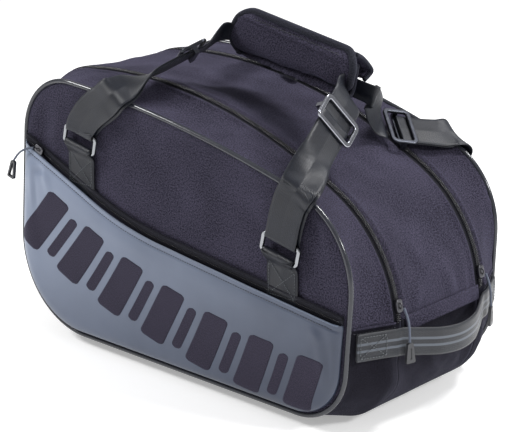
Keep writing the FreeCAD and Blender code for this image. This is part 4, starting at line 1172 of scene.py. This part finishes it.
def anchors():
    """Sewn webbing patches whose upper ends loop round the rings' lower bars."""
    for side_name, sign in SIDES.items():
        for side in RING_SPOTS:
            x, z = RING_SPOTS[side]
            middle = ANCHOR_MIDDLES[side]
            outward = np.array([0.0, sign, 0.0])
            centre = ring_bar(side, sign, 0.0)
            face = sign * (POCKET_BACK + 0.0016)
            low = z - ANCHOR_HIGH
            path = [np.array([middle * 0.001, face - sign * 0.0012, low * 0.001]),
                    np.array([middle * 0.001, face, (low + 8) * 0.001]),
                    np.array([middle * 0.001, face, (z - 24) * 0.001]),
                    np.array([(middle * 0.6 + x * 0.4) * 0.001, face + sign * 0.0006,
                              (z - 11) * 0.001])]
            across = [np.array([1.0, 0, 0])] * 3 + [unit([1.0, 0, RING_ALONG[2] * 0.6])]
            loop = half_turn(centre, outward, RING_UP, -0.9, math.pi + 0.35, BEND_RADIUS)
            path += loop
            across += [RING_ALONG] * len(loop)
            name = "%s_anchor_%s" % (side_name, side)
            piece = band(name + "_webbing", path, across, WEBBING, 0.0021, 90)
            dress(piece, "webbing", side_name + "_cover", name, slot="webbing")
            half = WEBBING / 2 - 0.003
            top = (z - 9) * 0.001
            bottom = (z - 41) * 0.001
            y = face + sign * 0.0012
            corners = [(-half, top + 0.003), (half, top - 0.004), (half, bottom), (-half, bottom)]
            points = [np.array([middle * 0.001 + a, y, b]) for a, b in corners]
            lines = box_with_cross(points)
            thread = stitches(name + "_thread", lines, [outward] * len(lines), thick=0.00035)
            dress(thread, "pale_thread", side_name + "_cover", slot="webbing")


CRESTS = {"front_left": (-78, -130.5, 299), "front_right": (174, -130.5, 246),
          "rear_left": (-78, 130.5, 311)}
RUN_ENDS = {"front_left": (-10, -5, 361), "front_right": (146, -5, 330),
            "rear_left": (-15, 11.5, 350)}
FLAT_ACROSS = {"front_left": (0.71, -0.56, 0.39), "front_right": (0.29, 0.61, -0.74),
               "rear_left": (0.71, 0.56, 0.39)}
REAR_APPROACH = mm(154, 96, 257.5)
REAR_GLIDE = mm(140, 74, 262)
REAR_ACROSS = (0.67, -0.55, -0.45)


def on_run(name, share):
    start = mm(*CRESTS[name])
    return start + (mm(*RUN_ENDS[name]) - start) * share


def lower_stations(name):
    """Centre and width direction of the doubled webbing from a ring to its glide."""
    depth, side = name.split("_")
    sign = SIDES[depth]
    y = sign * RING_DEPTH * 1000
    if name == "rear_right":
        return [(mm(156.9, y, 197), (0.98, 0, -0.2)), (mm(161, y, 213), (0.95, 0, -0.28)),
                (mm(167.5, 132.5, 230), (0.9, 0, -0.42)), (mm(173, 134, 244), (0.84, 0, -0.5)),
                (mm(171, 126.5, 253.5), (0.78, -0.25, -0.5)), (mm(164, 113, 254.5), (0.7, -0.48, -0.5)),
                (REAR_APPROACH, REAR_ACROSS), (REAR_GLIDE, REAR_ACROSS)]
    crest = mm(*CRESTS[name])
    flat = FLAT_ACROSS[name]
    if side == "left":
        rise = crest[2] * 1000 - 299
        return [(mm(-127.1, y, 255), (0.98, 0, -0.2)), (mm(-113, y, 272 + rise / 2), (0.91, 0, -0.42)),
                (mm(-93, y, 287 + rise), (0.86, 0.05 * sign, -0.5)),
                (crest, (0.86, 0.1 * sign, -0.5)),
                (on_run(name, 0.10), (0.85, 0.3 * sign, -0.4)),
                (on_run(name, 0.22), (0.78, 0.54 * sign, 0.10)),
                (on_run(name, 0.34), flat), (on_run(name, 0.60), flat)]
    return [(mm(156.9, y, 197), (0.98, 0, -0.2)), (mm(160.5, y, 216), (0.97, 0, -0.24)),
            (mm(167, y, 235), (0.95, 0, -0.3)), (crest, (0.93, 0.05, -0.35)),
            (on_run(name, 0.10), (0.85, 0.25, -0.45)), (on_run(name, 0.22), (0.6, 0.45, -0.65)),
            (on_run(name, 0.34), flat), (on_run(name, 0.60), flat)]


# Spread of the two layers at each station: how far the outer and the inner one stand off.
OUTER_GAP = (2.9, 2.2, 1.9, 1.6, 1.3, 0.9, 0.85, 0.85)
INNER_GAP = (2.9, 2.0, 1.4, 1.0, 1.0, 0.9, 0.85, 0.85)
INNER_SHIFT = (0.0, 1.5, 2.5, 2.5, 1.5, 0.0, 0.0, 0.0)


def loops():
    """Webbing doubled round each ring's upper bar, as one band from glide to ring and back."""
    for depth, sign in SIDES.items():
        for side in RING_SPOTS:
            name = "%s_%s" % (depth, side)
            stations = lower_stations(name)
            centres = np.array([spot for spot, _ in stations])
            across = unit(np.array([way for _, way in stations], float))
            outward = np.array([0.0, sign, 0.0])
            tangents = unit(np.gradient(centres, axis=0))
            normals = unit(np.cross(tangents, across))
            reference = outward
            for k in range(len(normals)):
                if normals[k] @ reference < 0:
                    normals[k] = -normals[k]
                reference = normals[k]
            gap_out = np.array(OUTER_GAP)[:, None] * 0.001
            gap_in = np.array(INNER_GAP)[:, None] * 0.001
            shift = np.array(INNER_SHIFT)[:, None] * 0.001
            outer = centres + normals * gap_out
            inner = centres - normals * gap_in + across * shift
            bar = ring_bar(side, sign, RING_RISE)
            turn = half_turn(bar, outward, RING_UP, math.pi + 0.2, 2 * math.pi - 0.2, BEND_RADIUS)
            path = list(inner[::-1]) + turn + list(outer)
            ways = list(across[::-1]) + [RING_ALONG] * len(turn) + list(across)
            piece = band("%s_loop_webbing_%s" % (depth, side), path, ways, WEBBING, 0.0015, 260)
            dress(piece, "webbing", depth + "_handle", "%s_loop_%s" % (depth, side), slot="webbing")


GRIP_CENTRE = mm(62, 0, 343.5)
GRIP_TURN = math.radians(-10)
GRIP_ALONG = np.array([math.cos(GRIP_TURN), 0, math.sin(GRIP_TURN)])
GRIP_UP = np.array([-math.sin(GRIP_TURN), 0, math.cos(GRIP_TURN)])
GRIP_REAR = np.array([0.0, 1.0, 0.0])


def grip_point(along, depth, up):
    """A point, or arrays of points, in the grip's frame, given in millimetres."""
    outer = np.multiply.outer
    return GRIP_CENTRE + 0.001 * (outer(along, GRIP_ALONG) + outer(depth, GRIP_REAR)
                                  + outer(up, GRIP_UP))


def upper_straps():
    """Single webbing from glide to glide through the grip."""
    up = tuple(GRIP_UP)
    left = [(on_run("front_left", share), FLAT_ACROSS["front_left"]) for share in (0.56, 0.62, 0.7)]
    turned = tuple(-v for v in FLAT_ACROSS["front_right"])
    right = [(on_run("front_right", share), turned) for share in (0.8, 0.62, 0.56)]
    front = left + [
        (grip_point(-92, -19, -5), (0.55, -0.35, 0.75)),
        (grip_point(-84, -8, -4), (0.35, -0.3, 0.9)), (grip_point(-70, -4, -2), up),
        (grip_point(52, -4, -4), up), (grip_point(70, -7, -9), (0.0, -0.15, 0.99)),
        (grip_point(79, -15, -12), (-0.2, -0.42, 0.87))] + right
    widths = np.array([40, 40, 38, 30, 23, 24, 28, 30, 36, 40, 40, 40]) * 0.001 * (WEBBING / 0.040)
    path = [spot for spot, _ in front]
    ways = [way for _, way in front]
    piece = band("front_strap_webbing", path, ways, widths, 0.0016, 200)
    dress(piece, "webbing", "front_handle", "front_strap", slot="webbing")
    rear_end = grip_point(-82, 11.5, -17)
    rear_far = grip_point(82, 11.5, -17)
    back = [(on_run("rear_left", share), FLAT_ACROSS["rear_left"]) for share in (0.56, 0.62, 0.8)]
    rear = back + [
        (back[-1][0] + (rear_end - back[-1][0]) * 0.6, (0.5, 0.3, 0.8)),
        (rear_end, up), (rear_far, up),
        (mm(141, 23, 305), (0.2, 0.4, 0.89)), (mm(136, 37, 289), (0.0, 0.66, 0.75)),
        (mm(131, 50, 275), (-0.4, 0.68, 0.6)), (mm(131, 58.4, 267.0), (-0.67, 0.55, 0.45))]
    widths = np.array([40, 40, 40, 29, 21, 21, 27, 33, 37, 38]) * 0.001 * (WEBBING / 0.040)
    piece = band("rear_strap_webbing", [s for s, _ in rear], [w for _, w in rear], widths, 0.0020, 170)
    dress(piece, "webbing", "rear_handle", "rear_strap", slot="webbing")


# ---------------------------------------------------------------- grip

# The pad lies between these: half its length, half its height, its middle, and how much its
# lower edge rises towards the right end (millimetres in the grip's frame).
PAD_HALF, PAD_HIGH = 81.5, 24.2
PAD_MIDDLE = np.array([-2.5, 1.2])
PAD_TAPER = 9.0
PAD_CORNERS = {"top_left": 26.0, "top_right": 18.0, "low_left": 8.0, "low_right": 16.0}
PAD_DEPTH = -14.2
PAD_THICK = 0.0060
CHANNEL_UP = 13.5


def pad_reach(level, side):
    """How far the front pad reaches towards one end at a level, inside its rounded corners."""
    corner = np.where(level > 0, PAD_CORNERS["top_" + side], PAD_CORNERS["low_" + side])
    over = np.clip(np.abs(level) - (PAD_HIGH - corner), 0, corner)
    return PAD_HALF - (corner - np.sqrt(np.maximum(corner ** 2 - over ** 2, 0)))


def pad_place(along, level):
    """(along, up) of a spot on the pad, tapered and moved to its middle."""
    below = np.clip(-level / PAD_HIGH, 0, 1)
    rise = PAD_TAPER * below * (along / PAD_HALF + 1) / 2
    return along + PAD_MIDDLE[0], level + PAD_MIDDLE[1] + rise


def pad_grid(columns, rows):
    """The front pad as a grid of (along, up)."""
    share = np.linspace(0, 1, columns)
    level = PAD_HIGH * np.sin(np.linspace(-math.pi / 2, math.pi / 2, rows))
    left = -pad_reach(level, "left")[:, None]
    right = pad_reach(level, "right")[:, None]
    along = left + (right - left) * share[None, :]
    return pad_place(along, np.broadcast_to(level[:, None], along.shape))


def pad_edge():
    """The pad's edge from its lower left corner, over the top, to its lower right corner."""
    points = []
    turns = (("low_left", -1, -1, -math.pi / 2), ("top_left", -1, 1, math.pi),
             ("top_right", 1, 1, math.pi / 2), ("low_right", 1, -1, 0.0))
    for key, side, upward, start in turns:
        corner = PAD_CORNERS[key]
        middle = np.array([side * (PAD_HALF - corner), upward * (PAD_HIGH - corner)])
        for angle in np.linspace(start, start - math.pi / 2, 9):
            points.append(middle + corner * np.array([math.cos(angle), math.sin(angle)]))
    along, level = resample(np.array(points), 260).T
    return pad_place(along, level)


def grip_face(along, up):
    """Depth of the grip's front face, in millimetres, curving back towards its edges."""
    wrap = 8.5 * smooth((np.abs(up - 2) - 6) / 22) ** 1.4
    wrap = wrap + 3.0 * smooth((np.abs(along) - 58) / 26)
    puff = -1.3 * np.exp(-((up - 18) / 4.5) ** 2) - 1.4 * np.exp(-((up + 3) / 9) ** 2)
    return PAD_DEPTH + wrap + puff


def sew_channel(piece):
    """Draws the pad's front face in along its sewn channel."""
    places = points_of(piece.data)
    local = (places - GRIP_CENTRE) * 1000
    along, depth, up = local @ GRIP_ALONG, local @ GRIP_REAR, local @ GRIP_UP
    front = smooth((grip_face(along, up) + 3.0 - depth) / 2.0)
    ends = smooth((PAD_HALF - 8 - np.abs(along)) / 12)
    draw = 2.4 * np.exp(-((up - CHANNEL_UP + 0.03 * along) / 1.5) ** 2) * front * ends
    places = places + 0.001 * draw[:, None] * GRIP_REAR
    move_points(piece.data, places)


def front_pad():
    """The wrap's front pad, with a sewn channel below its top edge and a bound edge."""
    along, up = pad_grid(130, 70)
    points = grip_point(along, grip_face(along, up), up)
    soft = 0.0009 * rumple(points, 34.0, 3, 2.0)
    normals = grid_normals(points, (0, -1, 0))
    piece = slab("grip_front_pad", points + normals * soft[..., None], points - normals * PAD_THICK)
    swell(piece, 0.0016)
    sew_channel(piece)
    lay_weave(piece, GRIP_ALONG, GRIP_UP)
    dress(piece, "body", "grip_flap", "grip_pad", slot="body_fabric")
    along, up = pad_edge()
    path = grip_point(along, grip_face(along, up) + 2.4, up)
    bound = tube("grip_binding_tape", path, 0.0042, 14)
    dress(bound, "binding", "grip_flap", "grip_binding", slot="binding")
    along = np.linspace(-PAD_HALF + PAD_CORNERS["top_left"], PAD_HALF - PAD_CORNERS["top_right"], 80)
    up = np.full(80, PAD_HIGH + PAD_MIDDLE[1] - 5.5)
    line = dropped_on(piece, grip_point(along, grip_face(along, up), up), GRIP_REAR)
    thread = stitches("grip_pad_thread", [line], [(0, -0.8, 0.6)])
    dress(thread, "thread", "grip_flap", slot="binding")


def roll_sheet(name, section, start, end, thick, node):
    """A padded sheet with a curved section (depth, up), along the grip, and its two end edges."""
    section = curve_through(np.array(section, float), 40)
    rows = [[grip_point(a, depth, up) for a in np.linspace(start, end, 70)] for depth, up in section]
    grid = np.array(rows)
    lift = 0.0006 * rumple(grid, 35.0, 3, 6.0)
    normals = grid_normals(grid, (0, 0, 1))
    piece = slab(name, grid + normals * (lift + thick / 2)[..., None], grid - normals * (thick / 2))
    swell(piece, 0.0010)
    lay_weave(piece, GRIP_ALONG, GRIP_REAR - GRIP_UP)
    dress(piece, "body", "front_handle", node, slot="body_fabric")
    return grid[:, 0], grid[:, -1]


def grip_rear():
    """The wrap's bottom roll, back wall and hood over the rear webbing."""
    wall = [(3.2, 11), (3.6, 0), (3.4, -12), (1.5, -20), (-4.0, -24.0), (-9.0, -22.0)]
    hood = [(-4.0, 23.5), (6.0, 18.5), (16.0, 11.5), (25.0, 3.5), (26.0, 0.0), (21.5, -4.0),
            (16.5, -7.0)]
    edges = roll_sheet("grip_back_wall", wall, -74, 74, 0.0042, "grip_back")
    edges += roll_sheet("grip_hood_pad", hood, -66, 76, 0.0040, "grip_hood")
    for number, edge in enumerate(edges):
        bound = tube("grip_edge_binding_%d" % (number + 1), curve_through(edge, 60), 0.0025, 12)
        dress(bound, "binding", "front_handle", slot="binding")


# ---------------------------------------------------------------- side grab handle

GRAB_BOW = [(-117, 240.2, 97), (-100, 247.8, 97), (-84, 255.0, 97), (-76, 257.9, 96.5),
            (-66, 259.6, 95.5), (-48, 267, 92.5), (-24, 276, 89), (2, 280, 87.5), (28, 277, 89),
            (50, 268, 92.5), (67, 259.6, 95.5), (77, 257.6, 96.5), (84, 255.0, 97),
            (100, 247.8, 97), (117, 240.2, 97)]


def grab_handle():
    path = [mm(x, y, z) for y, x, z in GRAB_BOW]
    ways = [(0, 0, 1)] * len(path)
    piece = band("grab_handle_webbing", path, ways, 0.0285, 0.0030, 200)
    dress(piece, "striped", "carcass", "grab_handle", slot="webbing")
    for number, (start, end) in enumerate((((-114, 241.6), (-88, 253.3)), ((88, 253.3), (114, 241.6)))):
        (y0, x0), (y1, x1) = start, end
        across = unit(mm(x1 - x0, y1 - y0, 0))
        outward = np.array([abs(across[1]), -across[0] * np.sign(across[1]), 0])
        corners = [mm(x0, y0, 86), mm(x1, y1, 86), mm(x1, y1, 108), mm(x0, y0, 108)]
        lines = box_with_cross([c + outward * 0.0017 for c in corners])
        thread = stitches("grab_handle_thread_%d" % (number + 1), lines, [outward] * 6, thick=0.0004)
        dress(thread, "pale_thread", "carcass", slot="webbing")


# ---------------------------------------------------------------- pull cords

CORD_DIAMETER = 0.0024
CORDS = {
    "front_zip_cord": ("front_zip_pull", "front_zip_tab", 0.0385,
                       [(0.2602, -0.070, 0.1312), (0.2636, -0.0694, 0.1242), (0.2658, -0.0686, 0.116),
                        (0.2668, -0.0682, 0.1065), (0.267, -0.0676, 0.0965)]),
    "rear_zip_cord": ("rear_zip_pull", "rear_zip_tab", 0.0385,
                      [(0.2602, 0.070, 0.1312), (0.2636, 0.0706, 0.1242), (0.2658, 0.0714, 0.116),
                       (0.2668, 0.0718, 0.1065), (0.267, 0.0724, 0.0965)]),
    "rear_top_cord": ("rear_top_pull", "rear_top_tab", 0.0307,
                      [(-0.0362, 0.070, 0.3081), (-0.030, 0.0685, 0.3096), (-0.023, 0.066, 0.3074),
                       (-0.015, 0.0635, 0.3036), (-0.008, 0.062, 0.302)]),
    "pocket_cord": ("pocket_pull", "pocket_tab", 0.0357,
                    [(-0.203, -0.1346, 0.2176), (-0.210, -0.1374, 0.2164), (-0.2185, -0.1386, 0.2122),
                     (-0.226, -0.1389, 0.206), (-0.2315, -0.139, 0.199)]),
}


def cords():
    for node, (body, tab, length, route) in CORDS.items():
        curve = bpy.data.curves.new(node + "_line", "CURVE")
        curve.dimensions = "3D"
        spline = curve.splines.new("NURBS")
        spline.points.add(len(route) - 1)
        for point, place in zip(spline.points, route):
            point.co = (*place, 1)
        spline.order_u = 3
        spline.use_endpoint_u = True
        curve.bevel_depth = CORD_DIAMETER / 2
        curve.bevel_resolution = 4
        curve.resolution_u = 16
        curve.use_fill_caps = True
        piece = bpy.data.objects.new(node + "_braid", curve)
        bpy.context.scene.collection.objects.link(piece)
        dress(piece, "cord", body, node, slot="pull_cord")


# ---------------------------------------------------------------- kept CAD parts

# Glides given the darker copy of their metal, as painted shade.
GLIDES_IN_PAINTED_SHADE = ("front_glide_left", "rear_glide_left", "rear_glide_right")


def kept_parts():
    """Metal and plastic parts whose CAD shape shows, with their materials."""
    wearing = {"piping": "piping", "ring_metal": "ring", "glide_metal": "glide",
               "slider_metal": "slider", "pull_tab": "tab", "board": "board"}
    for part in frame["record"]["subparts"]:
        piece = NODES[part["node"]]
        if piece.hide_render or part["material_slot"] not in wearing:
            continue
        finish = wearing[part["material_slot"]]
        if part["node"] in GLIDES_IN_PAINTED_SHADE:
            finish = "glide_painted_shade"
        piece.data.materials.clear()
        piece.data.materials.append(MATERIALS[finish])


# ---------------------------------------------------------------- stage

CAMERA_PLACE = (1.1569, -1.3086, 0.6994)
CAMERA_BACK = (0.6307, -0.7162, 0.2988)
CAMERA_ROLL = math.radians(0.716)
CAMERA_LENS = 118.2
FLOOR_REACH = 12.0


# Each light: name, place, what it points at, how wide it is and its power.
LIGHTS = (
    ("key_light", (-1.3, -1.1, 1.5), (-0.05, -0.05, 0.15), 0.6, 30),
    ("top_light", (0.7, 0.9, 2.1), (0.05, 0, 0.2), 0.7, 46),
    ("end_light", (1.9, 0.5, 1.3), (0.2, 0, 0.15), 0.4, 24),
)


def area_light(name, place, target, wide, power):
    data = bpy.data.lights.new(name, "AREA")
    data.shape = "DISK"
    data.size = wide
    data.energy = power
    light = bpy.data.objects.new(name, data)
    light.location = place
    light.rotation_euler = (Vector(place) - Vector(target)).to_track_quat("Z", "Y").to_euler()
    bpy.context.scene.collection.objects.link(light)


def stage():
    low = cad_low.z - 0.0005
    corners = [(-FLOOR_REACH, -FLOOR_REACH, low), (FLOOR_REACH, -FLOOR_REACH, low),
               (FLOOR_REACH, FLOOR_REACH, low), (-FLOOR_REACH, FLOOR_REACH, low)]
    floor = new_object("studio_floor", corners, [(0, 1, 2, 3)])
    n = Nodes("studio_floor")
    floor.data.materials.append(n.finish((0.88, 0.88, 0.88), rough=0.9, Emission_Strength=0.34,
                                         Emission_Color=(1.0, 1.0, 1.0, 1.0)))
    world = bpy.data.worlds.new("studio")
    world.use_nodes = True
    world.node_tree.nodes["Background"].inputs["Color"].default_value = (1, 1, 1, 1)
    world.node_tree.nodes["Background"].inputs["Strength"].default_value = 0.44
    bpy.context.scene.world = world
    bpy.context.scene.view_settings.view_transform = "Standard"
    for light in LIGHTS:
        area_light(*light)
    data = bpy.data.cameras.new("camera")
    data.lens = CAMERA_LENS
    data.sensor_width = 36.0
    data.clip_end = 60
    camera = bpy.data.objects.new("camera", data)
    camera.location = CAMERA_PLACE
    camera.rotation_mode = "QUATERNION"
    turn = Vector(CAMERA_BACK).to_track_quat("Z", "Y")
    camera.rotation_quaternion = turn @ Quaternion((0, 0, 1), CAMERA_ROLL)
    bpy.context.scene.collection.objects.link(camera)
    bpy.context.scene.camera = camera


for name in SIDES:
    gusset(name)
middle_cloth()
hem_flap()
base_cloth()
base_seams()
zips()
panels()
divider_cloth()
pocket()
graphic()
pocket_zip()
anchors()
loops()
upper_straps()
front_pad()
grip_rear()
grab_handle()
cords()
kept_parts()
stage()
